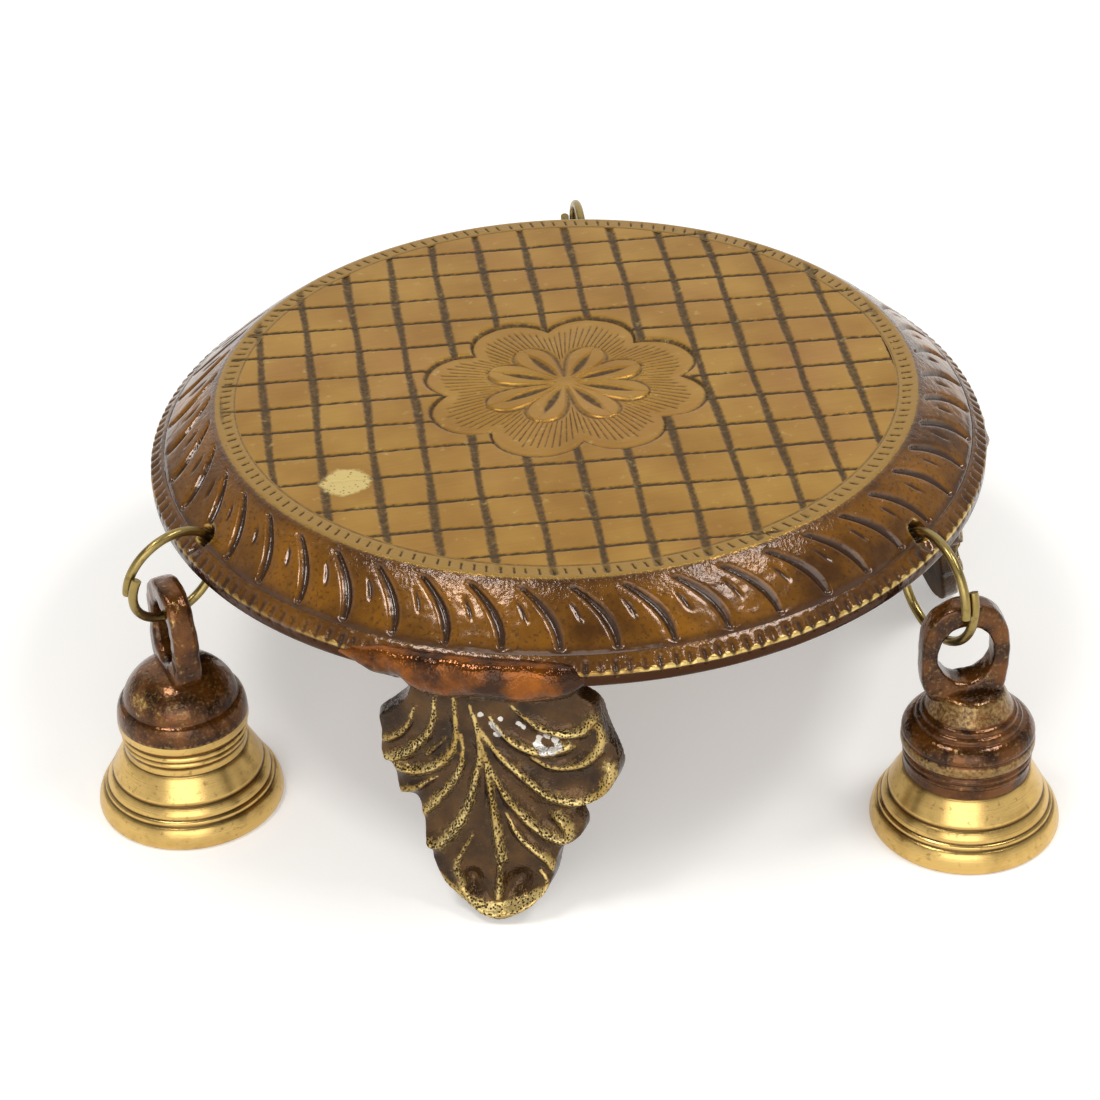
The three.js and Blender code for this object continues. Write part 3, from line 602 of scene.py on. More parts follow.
def holes_at(points, dark, worn):
    """How far each point lies in the mouth of a ring's hole, and its darkness and wear with the holes made,
    the hole mouths painted full dark as shade
    """
    drilled = np.zeros(len(points))
    chipped = np.zeros(len(points))
    for station in ring_stations.values():
        ring_place = ring_frame(station)
        turned = ring_place.to_3x3()
        drop = math.radians(station["drop"])
        way = np.array(turned @ Vector((math.sin(drop), math.cos(drop), 0)))
        off = points - np.array(ring_place.translation) / mm
        along = off @ way
        aside = np.abs(off @ np.array(turned.col[2]))
        ahead = off @ np.array(turned.col[0]) - 3.4
        notch = 0.3 * (1 - ramp(1.4, 2.4, aside)) * ramp(-1.5, 0, ahead) * (1 - ramp(0.8, 3.2, ahead))
        off = np.linalg.norm(off - along[:, None] * way, axis=1) - hole_radius
        drilled = np.maximum(drilled, np.maximum(notch, 1 - ramp(-0.4, 0, off)) * (along > 0))
        patches = 0.55 + 0.75 * np.sin(points[:, 0] * 1.3 + points[:, 1] * 0.9 + 1.2)
        chipped = np.maximum(chipped, 1.35 * patches * np.exp(-((off - 0.35) / 0.5) ** 2) * (along > 0))
    # The hole mouths are painted full dark: painted shade inside the holes
    return drilled, np.maximum(dark * (1 - chipped), drilled), np.maximum(worn, chipped)


lacquer_gloss = 0.45
lacquered_brass, tree, shader, place = start_material("lacquered_brass")
cloud = mapped(tree, noise(tree, place, 48.0, 4.0, 0.6), 0.34, 0.66)
tone = blend(tree, cloud, (0.070, 0.026, 0.004), (0.245, 0.096, 0.007))
pooled = ragged(tree, "pooled", 0.0, 1.1, 0.6, 200.0)
# Darker where lacquer pooled, and darkest on the rim's upright side, which is painted shade
tone = blend(tree, pooled, tone, (0.050, 0.020, 0.008))
speck = mapped(tree, noise(tree, place, 1100.0, 2.0), 0.55, 0.68, high=0.6)
tone = blend(tree, speck, tone, (0.05, 0.022, 0.008))
# Dark in the cuts: grime in the flutes, nicks, ticks and lines, and painted shade in the ring holes
darkening_in_cuts = ragged(tree, "dark", 0.1, 0.8, 0.5, 420.0)
tone = blend(tree, darkening_in_cuts, tone, (0.042, 0.019, 0.008))
bare = ragged(tree, "worn", 0.4, 0.75, 0.45, 600.0)
scraped = mapped(tree, mark_of(tree, "worn"), 1.1, 1.5)
scraped = blend(tree, scraped, (0.34, 0.20, 0.055), (0.66, 0.48, 0.17))
scraped = blend(tree, darkening_in_cuts, scraped, (0.07, 0.042, 0.016))
tone = blend(tree, bare, tone, scraped)
lacquer_metal = mapped(tree, bare, low=0.12)
upright_metal = mapped(tree, mark_of(tree, "pooled"), 0.8, 1.0, high=0.9)
lacquer_metal = calculated(tree, "MAXIMUM", lacquer_metal, upright_metal)
lacquer_rough = mapped(tree, bare, low=0.16, high=0.38)
fill(tree, shader, {"Base Color": tone, "Metallic": lacquer_metal, "Roughness": lacquer_rough,
                    "Specular IOR Level": lacquer_gloss})
grain = cast_grain(tree, 1100.0, 330.0, 0.3)["Height"]
crinkle = mapped(tree, mark_of(tree, "crinkled"), low=0.14)
skin = calculated(tree, "MULTIPLY", grain, crinkle)
swell = noise(tree, place, 260.0, 1.0)
skin = calculated(tree, "MULTIPLY_ADD", swell, 1.2, skin)
bumped(tree, shader, skin, 0.00025, 0.8)

border_top = spaced([(plate_radius, 0), (edge_radius - 0.9, 0)], 0.42)
border_top += [(edge_radius - 0.9, 0), (edge_radius - 0.45, -0.04), (edge_radius - 0.05, -0.16),
               (edge_radius + 0.35, -0.42)]
border_top += spaced([slope_point(edge_radius + 0.8), slope_point(groove_radius)], 0.45)
border_top += [slope_point(groove_radius)]
border_under = [(groove_radius, rim_foot), (groove_radius - 0.3, rim_foot), (105, -14.9), (99, -9.4),
                (93, -plate_thickness), (plate_radius, -plate_thickness)]
border = spun(border_top + border_under, border_steps)
points = places(border.verts) / mm
cut, dark, worn = border_surface(*points.T)
skin_rows = np.hypot(points[:, 0], points[:, 1])
on_top = points[:, 2] > np.where(skin_rows < edge_radius, -1, slope_level(skin_rows) - 0.6)
cut, dark, worn = cut * on_top, dark * on_top, worn * on_top
flat = skin_rows < edge_radius
out = np.where(flat, 0.0, math.sin(slope_angle))
up = np.where(flat, 1.0, math.cos(slope_angle))
slope_share = np.clip((skin_rows - edge_radius) / (groove_radius - edge_radius), 0, 1)
drilled, dark, worn = holes_at(points, dark, worn)
lift = np.minimum(-cut, 0) + 1.6 * slope_share * (1 - slope_share) * on_top - hole_depth * drilled
points[:, 0] += lift * out * points[:, 0] / skin_rows
points[:, 1] += lift * out * points[:, 1] / skin_rows
points[:, 2] += lift * up
move_points(border.verts, points)
crinkled = 0.85 * (1 - ramp(97, 102.5, skin_rows)) + 0.15 * ramp(0.1, 0.6, dark)
# Lacquer pooled at the top and the foot of the slope
pooled = np.maximum(0.6 * (1 - ramp(95, 99.5, skin_rows)), 0.75 * ramp(107.5, 110, skin_rows))
mark_points(border, dark=dark, worn=worn, crinkled=crinkled, pooled=pooled)
piece_of_form("fluted_border", border, "base", lacquered_brass, "top_brass", "table_top")

lip_start = slope_point(rim_radius - 1.2)
lip_end = (rim_radius, -slope_drop - 0.8)
rim_profile = spaced([slope_point(groove_radius), lip_start], 0.42)
rim_profile += spaced([lip_start, slope_point(rim_radius - 0.35), (rim_radius, -slope_drop - 0.4),
                       lip_end], 0.2)
rim_profile += spaced([lip_end, (rim_radius, rim_foot + 0.4), (rim_radius - 0.4, rim_foot),
                       (groove_radius, rim_foot)], 0.5)
rim = spun(rim_profile, border_steps)
points = places(rim.verts) / mm
cut, dark, worn = rim_surface(*points.T)
reach = np.hypot(points[:, 0], points[:, 1])
dents = 0.12 * np.sin(np.arctan2(points[:, 1], points[:, 0]) * 37) * np.sin(points[:, 2] * 1.3)
side = (reach > rim_radius - 0.1) * (0.14 + dents)
drilled, dark, worn = holes_at(points, dark, worn)
deep = 0.45 * cut * (1 - drilled) + hole_depth * math.sin(slope_angle) * drilled
points[:, :2] *= ((reach - deep - side) / reach)[:, None]
points[:, 2] -= 0.8 * cut * (1 - drilled) + hole_depth * math.cos(slope_angle) * drilled
move_points(rim.verts, points)
below_lip = 1 - ramp(-slope_drop - 0.9, -slope_drop - 0.5, points[:, 2])
# The whole rim a little darker, and its upright side below the lip painted darkest as shade
pooled = np.maximum(0.45, 1.1 * below_lip * (reach > 112))
mark_points(rim, dark=dark, worn=worn, crinkled=np.full_like(dark, 0.4), pooled=pooled)
piece_of_form("serrated_rim", rim, "base", lacquered_brass, "top_brass", "table_top")


# The legs: solid acanthus castings, one pattern cast three times. A lumpy head hooks over the rim
# and a pad under the top takes two screws. Lacquered dark, then rubbed back to bare brass on the ribs.
leg_angles = [0, 122, -116.5]
leg_height = 94
leaf_half = 34
leaf_top_radius = 109
toe_flare = 8.5
leaf_thickness = 8.5
leaf_bulge = 2.4
leaf_root_half = 19
leaf_shoulder = 27
hollow_depth = 1.6
toe_hollow_depth = 2.2
leg_cell = 0.42
hind_head_sunk = 5
pad_top = -15.3
pad_bottom = -20.3
pad_inner = 86
pad_width = 30
# The leaf's outline from under the head, down its left side to the toe and up its right: across and level
leaf_outline = [
    (-19.9, -21), (-21, -29), (-22.3, -32), (-26.5, -35.6), (-30.1, -38.5), (-29.7, -41.4), (-29.0, -44.4),
    (-29.9, -47.7), (-29.2, -50.3), (-27.3, -52.0), (-26.0, -52.8), (-26.0, -56.6), (-25.6, -59.6),
    (-24.1, -61.3), (-20.6, -61.6), (-19.3, -63.8), (-18.8, -67.3), (-18.7, -71.6), (-18.5, -74.4),
    (-16.8, -76.1), (-16.9, -77.9), (-16.1, -81.1), (-14.2, -85), (-10.7, -88.3), (-7.4, -90.5),
    (-4.8, -91.6), (-2.6, -92.8), (0.1, -94), (3.2, -94), (5.7, -93.0), (9.0, -91.0), (13.0, -87.8),
    (15.6, -84.6), (17.0, -81.2), (17.6, -78.2), (17.9, -75.9), (18.6, -73.4), (20.4, -71.6), (23.2, -70),
    (24.9, -67.8), (24.8, -65), (23.6, -62.4), (22.4, -60.8), (22.5, -59.6), (24.9, -59.2), (28.6, -57.6),
    (31.6, -54.6), (33.4, -51.2), (34.0, -48.3), (33.4, -44.4), (32.0, -40.6), (30.6, -37), (29.7, -33.9),
    (28.9, -29.9), (26.6, -27.2), (23.2, -26), (22, -21),
]
# Each rib from its root to the leaf's edge, with how proud and how broad it stands
leaf_ribs = [
    (1.7, 1.5, [(-19.1, -34), (-20.6, -39.1), (-23.4, -42.4), (-27, -44.7), (-29.4, -44.2)]),
    (2.4, 2.0, [(-13.4, -29), (-13.9, -37.7), (-16.5, -42.1), (-20.4, -46.5), (-24.3, -49.6), (-29.6, -51)]),
    (2.4, 2.0, [(-8.5, -29), (-7.9, -38.3), (-8.5, -43.9), (-11.8, -48.7), (-16.7, -52), (-20.8, -53.3),
                (-24, -52.1)]),
    (1.3, 1.1, [(-10.5, -41.2), (-13.2, -44.3), (-16, -47.2)]),
    (1.8, 1.4, [(-13.7, -53.9), (-16.9, -55.9), (-20.4, -58.6), (-24.9, -60.8)]),
    (2.2, 1.7, [(-6.9, -40), (-6.5, -46.7), (-8, -52.1), (-11.7, -57.8), (-15.2, -62.5), (-19, -65.9)]),
    (2.4, 1.9, [(-3.4, -34), (-2, -43.7), (-2.5, -48.4), (-3.6, -53.1), (-5.1, -59.3), (-7.4, -65.5),
                (-10.6, -70.6), (-14.7, -74.8), (-18.3, -74.2)]),
    (1.6, 1.5, [(-5.1, -70.5), (-7.5, -75.1), (-9.4, -79), (-8.9, -81.7), (-7.6, -84.6)]),
    (2.4, 1.6, [(-4.4, -31), (-1.7, -42.1), (-0.6, -48.1), (0.2, -54.7), (1, -61.6), (1.5, -68),
                (2.9, -75.9)]),
    (2.4, 1.4, [(1.2, -75), (2.4, -78.2), (2.5, -81.5), (2, -86.5)]),
    (2.0, 1.8, [(6.2, -30), (8.4, -32.2), (12.3, -35.3), (16, -36.9), (20.2, -37.9), (24.2, -36.8),
                (26.6, -33)]),
    (2.0, 1.8, [(0.6, -34), (2.6, -36.9), (4.5, -39.3), (8.3, -42), (12, -43.7), (16, -43.4), (20.4, -41.2)]),
    (2.0, 1.7, [(11, -45.6), (14.4, -47.4), (18.2, -48.1), (23.2, -46.9), (27, -43.8), (28.9, -40),
                (28.6, -35.4)]),
    (2.5, 2.2, [(-2.2, -38), (-0.1, -41.4), (2.3, -44.8), (5, -47.5), (9, -51), (12.3, -54.2), (15.5, -56.7),
                (20.6, -58.4), (25.6, -57.8), (29.2, -54.6), (31, -50.8), (30.6, -47)]),
    (2.5, 2.0, [(-1.5, -43), (0.8, -51), (2.8, -54.8), (5.3, -58.7), (8.3, -62.3), (11.6, -65.9),
                (15.4, -68.5), (19.4, -69.9), (20.4, -67.6), (19.4, -64.6), (17.4, -62.4)]),
    (2.0, 1.5, [(3.9, -63), (7.7, -69.7), (11.5, -72.8), (14.9, -75.5), (16, -77.6)]),
    (2.0, 1.5, [(12.8, -78.7), (14.8, -81), (14.2, -84.1), (11.7, -87), (6.5, -90)]),
    (2.4, 2.2, [(-8.6, -84.4), (-5.9, -88.2), (-2.7, -90.6), (1.3, -91.4), (6.5, -90.1), (11.3, -87.2)]),
]
toe_hollows = [(-5.4, -83.4, 3.0), (7.7, -82.6, 3.6)]
head_start, head_end = -41, 28
head_inner = 109.5
head_circle = 116
head_back = 104
# The head's lower edge, upper edge and reach along the rim
head_low = [(-41, -19.8), (-36, -20.4), (-31, -21.7), (-27.5, -23), (-23.4, -22.8), (-20.9, -22.8),
            (-18.7, -25), (-16, -26.9), (-10, -26.4), (-2.5, -25.8), (5, -25.7), (12, -25.8), (20, -25.3),
            (23.5, -24.2), (25.6, -21.4), (28, -19.8)]
head_high = [(-41, -17.4), (-36, -15.6), (-31, -14.6), (-25, -13.5), (-16, -13), (-8, -12.6), (10, -12.6),
             (20, -13.4), (25, -15), (28, -17.4)]
head_reach = [(-41, 113.8), (-36, 114.8), (-31, 115.7), (-25, 116.6), (-20, 116.3), (-16, 117), (-8, 117.5),
              (4, 117.3), (12, 117.5), (20, 116.7), (25, 115), (28, 113.8)]


def along_table(table, value):
    return np.interp(value, [point[0] for point in table], [point[1] for point in table])


def leaf_radius(level):
    down = np.clip((rim_foot - level) / (leg_height + rim_foot), 0, 1)
    return leaf_top_radius + toe_flare * down**3


def rounded(profile, passes):
    """Cuts each corner of a line into two, passes times, keeping its ends"""
    for _ in range(passes):
        finer = [profile[0]]
        for a, b in zip(profile, profile[1:]):
            finer.append((0.75 * a[0] + 0.25 * b[0], 0.75 * a[1] + 0.25 * b[1]))
            finer.append((0.25 * a[0] + 0.75 * b[0], 0.25 * a[1] + 0.75 * b[1]))
        profile = finer + [profile[-1]]
    return profile


def leaf_form():
    """The leaf as a fan of columns from its root under the head out to its edge, and round to its back"""
    columns, rows = 360, 56
    line = np.array(rounded(leaf_outline, 2))
    length = np.concatenate([[0], np.cumsum(np.hypot(*np.diff(line, axis=0).T))])
    even = np.linspace(0, length[-1], columns + 1)
    line = np.stack([np.interp(even, length, line[:, 0]), np.interp(even, length, line[:, 1])], axis=1)
    toe = int(np.argmin(line[:, 1]))
    side = np.where(np.arange(columns + 1) < toe, -1, 1)
    way = np.gradient(line, axis=0)
    outward = np.stack([way[:, 1], -way[:, 0]], axis=1) / np.hypot(*way.T)[:, None]
    form = bmesh.new()
    bmesh.ops.create_grid(form, x_segments=columns, y_segments=rows, size=1)
    grid = places(form.verts)
    column = np.rint((grid[:, 0] + 1) / 2 * columns).astype(int)
    # Along a column: out over the face up to 1, round the edge up to 1.2, and back in behind up to 2.2
    run = (grid[:, 1] + 1) / 2 * 2.2
    edge = np.clip((run - 1) / 0.2, 0, 1)
    out = np.where(run < 1, run, np.where(run < 1.2, 1, 2.2 - run))
    tip = line[column] - 1.3 * (1 - edge)[:, None] * outward[column] * np.where(run < 1, out**3, 1)[:, None]
    down = np.clip((-leaf_shoulder - line[column, 1]) / (leg_height - leaf_shoulder), 0, 1)
    root_across = side[column] * leaf_root_half * (1 - down) ** 1.5
    root = np.stack([root_across, np.full_like(root_across, pad_top)], axis=1)
    bend = root + (0.25, 0.85) * (tip - root)
    out = out[:, None]
    across, level = ((1 - out) ** 2 * root + 2 * out * (1 - out) * bend + out**2 * tip).T
    crown = 1 - (across / leaf_half) ** 2
    face = leaf_radius(level) - leaf_bulge + leaf_bulge * crown - hollow_depth
    back = leaf_radius(level) - leaf_thickness + leaf_bulge / 2 * crown
    share = np.where(run < 1, 0, np.where(run < 1.2, 0.5 - 0.5 * np.cos(edge * math.pi), 1))
    radius = face + (back - face) * share - 0.5 * (run < 1) * ramp(0.93, 1, out[:, 0])
    move_points(form.verts, np.stack([radius, across, np.maximum(level, -leg_height)], axis=1))
    bmesh.ops.holes_fill(form, edges=boundary(form))
    return form


def head_form(form, sunk):
    """The head: a lumpy roll along the rim that reaches further to one side, as it ran in the mould"""
    made = bmesh.ops.create_grid(form, x_segments=150, y_segments=48, size=1)["verts"]
    grid = places(made)
    along = head_start + (grid[:, 0] + 1) / 2 * (head_end - head_start)
    around = (grid[:, 1] + 1) * math.pi
    low, high, reach = (along_table(rounded(table, 1), along) for table in (head_low, head_high, head_reach))
    if sunk:
        low, high = low - sunk, np.minimum(high, rim_foot - 0.6)
    end = np.minimum(ramp(head_start, head_start + 2.5, along), 1 - ramp(head_end - 1.5, head_end, along))
    cos, sin = np.cos(around), np.sin(around)
    lump = 0.3 * np.sin(along / 2.9 + 1.5 * sin) + 0.25 * np.sin(along / 1.5 + 2 + around)
    lump = lump + 0.22 * np.sin(along / 0.9 + 3 * around) * np.sin(along / 1.3 + 1)
    half = (reach - head_inner) / 2
    radius = reach - half + np.sign(cos) * np.abs(cos) ** 0.8 * (half * end) + lump * end * cos
    radius = radius - np.where(cos > 0, 3.4 * np.clip(-sin, 0, 1) ** 1.3 * end, 0)
    level = (low + high) / 2 + np.sign(sin) * np.abs(sin) ** 0.85 * (high - low) / 2 * end - 0.4 * lump * sin
    angle = along / head_circle
    move_points(made, np.stack([radius * np.cos(angle), radius * np.sin(angle), level], axis=1))
    bmesh.ops.remove_doubles(form, verts=made, dist=merge_distance)
    bmesh.ops.holes_fill(form, edges=boundary(form))


def edges_between(form, vertices):
    return [edge for edge in form.edges if edge.verts[0] in vertices and edge.verts[1] in vertices]


def pad_form(form):
    made = bmesh.ops.create_cube(form, size=1)["verts"]
    outer = leaf_top_radius - leaf_thickness + 2
    middle = ((outer + pad_inner) / 2, 0, (pad_top + pad_bottom) / 2)
    bmesh.ops.scale(form, vec=Vector((outer - pad_inner, pad_width, pad_top - pad_bottom)) * mm, verts=made)
    bmesh.ops.translate(form, vec=Vector(middle) * mm, verts=made)
    corners = [edge for edge in edges_between(form, made)
               if abs(edge.verts[0].co.z - edge.verts[1].co.z) > mm and edge.verts[0].co.x < middle[0] * mm]
    bmesh.ops.bevel(form, geom=corners, offset=4.5 * mm, affect="EDGES", segments=6, profile=0.5, material=-1)


def rib_marks(across, level):
    """Height of the ribs over the hollows, and how near each point is to a rib's rubbed crest"""
    height = np.zeros_like(across)
    crest = np.zeros_like(across)
    for proud, broad, line in leaf_ribs:
        smooth = np.array(rounded(line, 2))
        starts, ways = smooth[:-1], np.diff(smooth, axis=0)
        lengths = np.hypot(*ways.T)
        runs = np.concatenate([[0], np.cumsum(lengths)])
        nearest = np.full_like(across, 99.0)
        reached = np.zeros_like(across)
        for start, way, length, run in zip(starts, ways, lengths, runs):
            share = np.clip(((across - start[0]) * way[0] + (level - start[1]) * way[1]) / length**2, 0, 1)
            off = np.hypot(across - start[0] - share * way[0], level - start[1] - share * way[1])
            closer = off < nearest
            nearest = np.where(closer, off, nearest)
            reached = np.where(closer, (run + share * length) / runs[-1], reached)
        grown = 0.4 + 0.6 * ramp(0, 0.45, reached)
        rounded_off = np.sqrt(nearest**2 + 0.25) - 0.5
        height = np.maximum(height, proud * grown * np.exp(-rounded_off / (0.8 * broad)))
        rubbed = np.exp(-((nearest / (0.85 * broad * (0.4 + 0.9 * ramp(0, 1.0, reached)))) ** 2))
        crest = np.maximum(crest, rubbed * min(1, proud / 2))
    for hollow_across, hollow_level, size in toe_hollows:
        way = ((across - hollow_across) / size) ** 2 + ((level - hollow_level) / size) ** 2
        height = height - toe_hollow_depth * np.exp(-way)
    return height, crest


def read_all(items, name, width, kind=float):
    """Reads one property of all of a mesh's vertices or edges, a row for each"""
    values = np.empty(len(items) * width, dtype=kind)
    items.foreach_get(name, values)
    return values.reshape(-1, width)


def smoothed(mesh, rounds, share=1.0):
    """The points of a mesh, each drawn towards the mean of its neighbours"""
    points = read_all(mesh.vertices, "co", 3)
    edges = read_all(mesh.edges, "vertices", 2, np.int32)
    count = len(points)
    links = np.maximum(np.bincount(edges.ravel(), minlength=count), 1)[:, None]
    for _ in range(rounds):
        mean = np.stack([np.bincount(edges[:, 0], points[edges[:, 1], k], count)
                         + np.bincount(edges[:, 1], points[edges[:, 0], k], count) for k in range(3)], axis=1)
        points = points + share * (mean / links - points)
    return points


def fused(form, voxel):
    """Fuses overlapping closed forms into one skin of even cells, as a casting is, and eases its steps"""
    rough = bpy.data.objects.new("rough", mesh_of("rough", form))
    scene.collection.objects.link(rough)
    remesh = rough.modifiers.new("skin", "REMESH")
    remesh.mode = "VOXEL"
    remesh.voxel_size = voxel * mm
    skin = bpy.data.meshes.new_from_object(rough.evaluated_get(bpy.context.evaluated_depsgraph_get()))
    bpy.data.objects.remove(rough)
    skin.vertices.foreach_set("co", smoothed(skin, 7, 0.6).ravel())
    skin.update()
    return skin


def add_mark(mesh, name, values):
    mesh.attributes.new(name, "FLOAT", "POINT").data.foreach_set("value", values.astype(np.float32))


leaf_brass, tree, shader, place = start_material("leaf_brass")
cloud = mapped(tree, noise(tree, place, 110.0, 4.0), 0.36, 0.64)
tone = blend(tree, cloud, (0.030, 0.015, 0.006), (0.095, 0.046, 0.014))
patch = mapped(tree, noise(tree, place, 75.0, 5.0, 0.65), 0.4, 0.66)
copper = blend(tree, patch, (0.040, 0.014, 0.004), (0.31, 0.088, 0.004))
tone = blend(tree, ragged(tree, "head", 0.3, 0.7, 0.6, 220.0), tone, copper)
grain_sockets = cast_grain(tree, 800.0, 1400.0, 1.1)
bare = ragged(tree, "worn", 0.25, 0.8, 2.2, 600.0)
rubbed = blend(tree, cloud, (0.42, 0.28, 0.085), (0.66, 0.50, 0.21))
rubbed = blend(tree, mapped(tree, mark_of(tree, "worn"), 0.35, 1.0), (0.21, 0.125, 0.040), rubbed)
tone = blend(tree, bare, tone, rubbed)
pits = calculated(tree, "MULTIPLY", grain_sockets["Pits"], bare)
tone = blend(tree, pits, tone, (0.035, 0.020, 0.010))
spark = ragged(tree, "bright", 0.35, 0.55, 1.5, 700.0)
tone = blend(tree, spark, tone, (0.66, 0.62, 0.57))
rear = mark_of(tree, "behind")
facing = mapped(tree, rear, 0.0, 0.6, low=1.0, high=0.2)
leaf_metal = calculated(tree, "MULTIPLY", mapped(tree, bare, low=0.6), facing)
leaf_rough = calculated(tree, "MAXIMUM", mapped(tree, bare, low=0.13, high=0.3), rear)
leaf_gloss = calculated(tree, "MULTIPLY", facing, lacquer_gloss)
fill(tree, shader, {"Base Color": tone, "Metallic": leaf_metal, "Roughness": leaf_rough,
                    "Specular IOR Level": leaf_gloss})
leaf_grain = calculated(tree, "MULTIPLY", grain_sockets["Height"], mapped(tree, bare, low=0.22))
leaf_skin = calculated(tree, "MULTIPLY_ADD", noise(tree, place, 300.0, 1.0), 0.9, leaf_grain)
bumped(tree, shader, leaf_skin, 0.0003, 0.8)

# Blobs of bare solder left on the front of the leaf: across, level and size
solder_blobs = [
    (1.0, -35.9, 1.0), (1.9, -37.2, 1.2), (2.9, -38.4, 1.1), (2.2, -39.4, 1.0), (3.4, -34.4, 0.7),
    (7.9, -35.7, 0.9), (9.0, -36.5, 0.8), (-1.8, -33.8, 0.8), (15.0, -38.5, 1.1), (17.1, -39.3, 1.2),
    (17.9, -41.1, 1.2), (16.4, -42.7, 1.3), (14.0, -42.8, 1.3), (12.5, -41.2, 1.2), (13.0, -39.4, 1.0),
]


def cast_leg(sunk):
    """One leg as a mesh at +X with its marks; the head of a hind leg is sunk below the rim's foot"""
    casting = leaf_form()
    head_form(casting, sunk)
    pad_form(casting)
    face_outward(casting)
    mesh = fused(casting, leg_cell)
    points = read_all(mesh.vertices, "co", 3) / mm
    faces_out = read_all(mesh.vertices, "normal", 3)[:, 0]
    across, level = points[:, 1], points[:, 2]
    rib_height, crest = rib_marks(across, level)
    above_leaf = level - along_table(head_low, across) + sunk
    fronts = ramp(0.25, 0.7, faces_out) * (1 - ramp(-1.6, 0.4, above_leaf))
    fronts = fronts * (points[:, 0] > leaf_radius(level) - 7)
    lumps = 0.22 * np.sin(across / 1.7 + np.sin(level / 2.3)) * np.sin(level / 1.9 + 1)
    points[:, 0] += (rib_height + lumps) * fronts
    furthest = leaf_top_radius + toe_flare + 0.2
    points[:, 0] = np.where(fronts > 0, np.minimum(points[:, 0], furthest), points[:, 0])
    mesh.vertices.foreach_set("co", (points * mm).ravel())
    toe = (1 - ramp(-89.6, -86.6, level - 0.03 * across**2)) * (np.abs(across) < 14)
    add_mark(mesh, "worn", np.maximum(crest, 0.85 * toe) * fronts + 0.25 * toe * (faces_out > 0))
    add_mark(mesh, "head", ramp(-1, 5, above_leaf) * (points[:, 0] > head_back))
    bright = np.zeros(len(points))
    for blob_across, blob_level, size in solder_blobs:
        bright = np.maximum(bright, 1.35 - np.hypot(across - blob_across, level - blob_level) / size)
    add_mark(mesh, "behind", 0.6 * (1 - ramp(-0.1, 0.3, faces_out)) * (above_leaf < 0))
    add_mark(mesh, "bright", np.clip(bright, 0, 1) * fronts * (sunk == 0))
    return mesh


front_leg, hind_leg = cast_leg(0), cast_leg(hind_head_sunk)
for number, (angle, pattern) in enumerate(zip(leg_angles, (hind_leg, hind_leg, front_leg)), start=1):
    leg_copy = pattern.copy()
    leg_copy.transform(Matrix.Rotation(math.radians(angle), 4, "Z"))
    piece_of_mesh(f"acanthus_leg_{number}", leg_copy, "base", leaf_brass, "leaf_brass", f"leg_{number}")
bpy.data.meshes.remove(front_leg)
bpy.data.meshes.remove(hind_leg)


# The bells: each cast in one with its eye, then turned on the lathe below the shoulder to bright brass.
# Brown lacquer covers the shoulder and the eye, and is chipped at the corners. Each station says where a
# bell hangs, how its eye is turned and shifted, where its lacquer starts and how thin that is on top.
bell_stations = {
    "right": {"at": -51.4, "reach": 128, "turn": -98, "shift": -2.2, "lacquer": 18.6, "thin": 0.5},
    "left": {"at": -166.9, "reach": 119.6, "turn": -170.5, "shift": 0.6, "lacquer": 28.4, "thin": 0.1},
    "back": {"at": 73.32, "reach": 126.21, "turn": 94, "shift": 1, "lacquer": 24, "thin": 0.3},
}
bell_outside = [
    (22.4, 0.25), (23.6, 0), (24.5, 0.05), (25.0, 0.6), (25.18, 1.4), (25.1, 2.6), (24.8, 3.9),
    (24.3, 5.2), (23.75, 6.1), (23.1, 6.5), (22.95, 7.0), (22.95, 7.6), (22.35, 7.9), (22.1, 8.3),
    (22.1, 8.9), (21.5, 10.0), (20.9, 10.8), (20.35, 11.2), (20.3, 11.8), (20.4, 12.2), (19.7, 13.4),
    (18.9, 15.0), (18.0, 16.6), (17.2, 18.0), (16.6, 18.6), (16.65, 19.0), (16.5, 20.2), (16.45, 21.2),
    (16.9, 21.6), (16.95, 22.3), (16.5, 22.7), (16.5, 23.1), (17.1, 23.5), (17.0, 24.3), (16.5, 24.8),
    (16.6, 25.4), (17.4, 25.9), (17.7, 26.8), (17.6, 28.4),
]
beaded_crown = [
    (17.15, 29.1), (17.1, 29.4), (17.45, 29.9), (17.5, 30.5), (17.2, 31.3), (16.6, 32.3), (15.8, 33.2),
    (14.9, 33.8), (14.2, 33.95), (14.1, 34.3), (14.05, 34.8), (13.6, 35.4), (12.9, 35.6), (12.75, 35.95),
    (12.6, 36.6), (12.1, 37.1), (11.55, 37.3), (11.4, 37.8), (11.0, 38.6), (10.4, 39.8), (9.8, 41.2),
    (9.2, 42.4), (8.5, 43.2), (7.4, 43.7), (5, 43.9), (0, 44),
]
smooth_crown = [
    (17.5, 30), (17.2, 31.6), (16.7, 32.9), (16.1, 33.7), (15.5, 33.95), (15.35, 34.3), (15.3, 35.2),
    (14.5, 37.2), (13.2, 39.2), (11.5, 41), (9.6, 42.4), (7.5, 43.3), (5, 43.8), (0, 44),
]
crowns = {"right": beaded_crown, "left": smooth_crown, "back": smooth_crown}
bell_inside = [(0, 36), (7.5, 35.2), (12.4, 31.6), (14.6, 28.6), (14.7, 20.8), (17.9, 12), (21.2, 3),
               (22.2, 0.8)]
bell_steps = 224
bell_top = 44
dome_points = 7
eye_base = 39.1
eye_centre = 16.2
eye_half = (11.5, 14.9)
eye_hole_half = (7.3, 8.5)
eye_half_thickness = 3.35
# Where the left bell's dome has lost a patch of its lacquer
chip_place = (13.2, 4.8, 38)
# Heights and reaches that tell the bell's inner skin from its outer one
bell_lining = [(0, 22.6), (3, 21.6), (12, 18.3), (20.8, 15.1), (28.6, 15), (31.6, 12.8), (35.2, 8)]


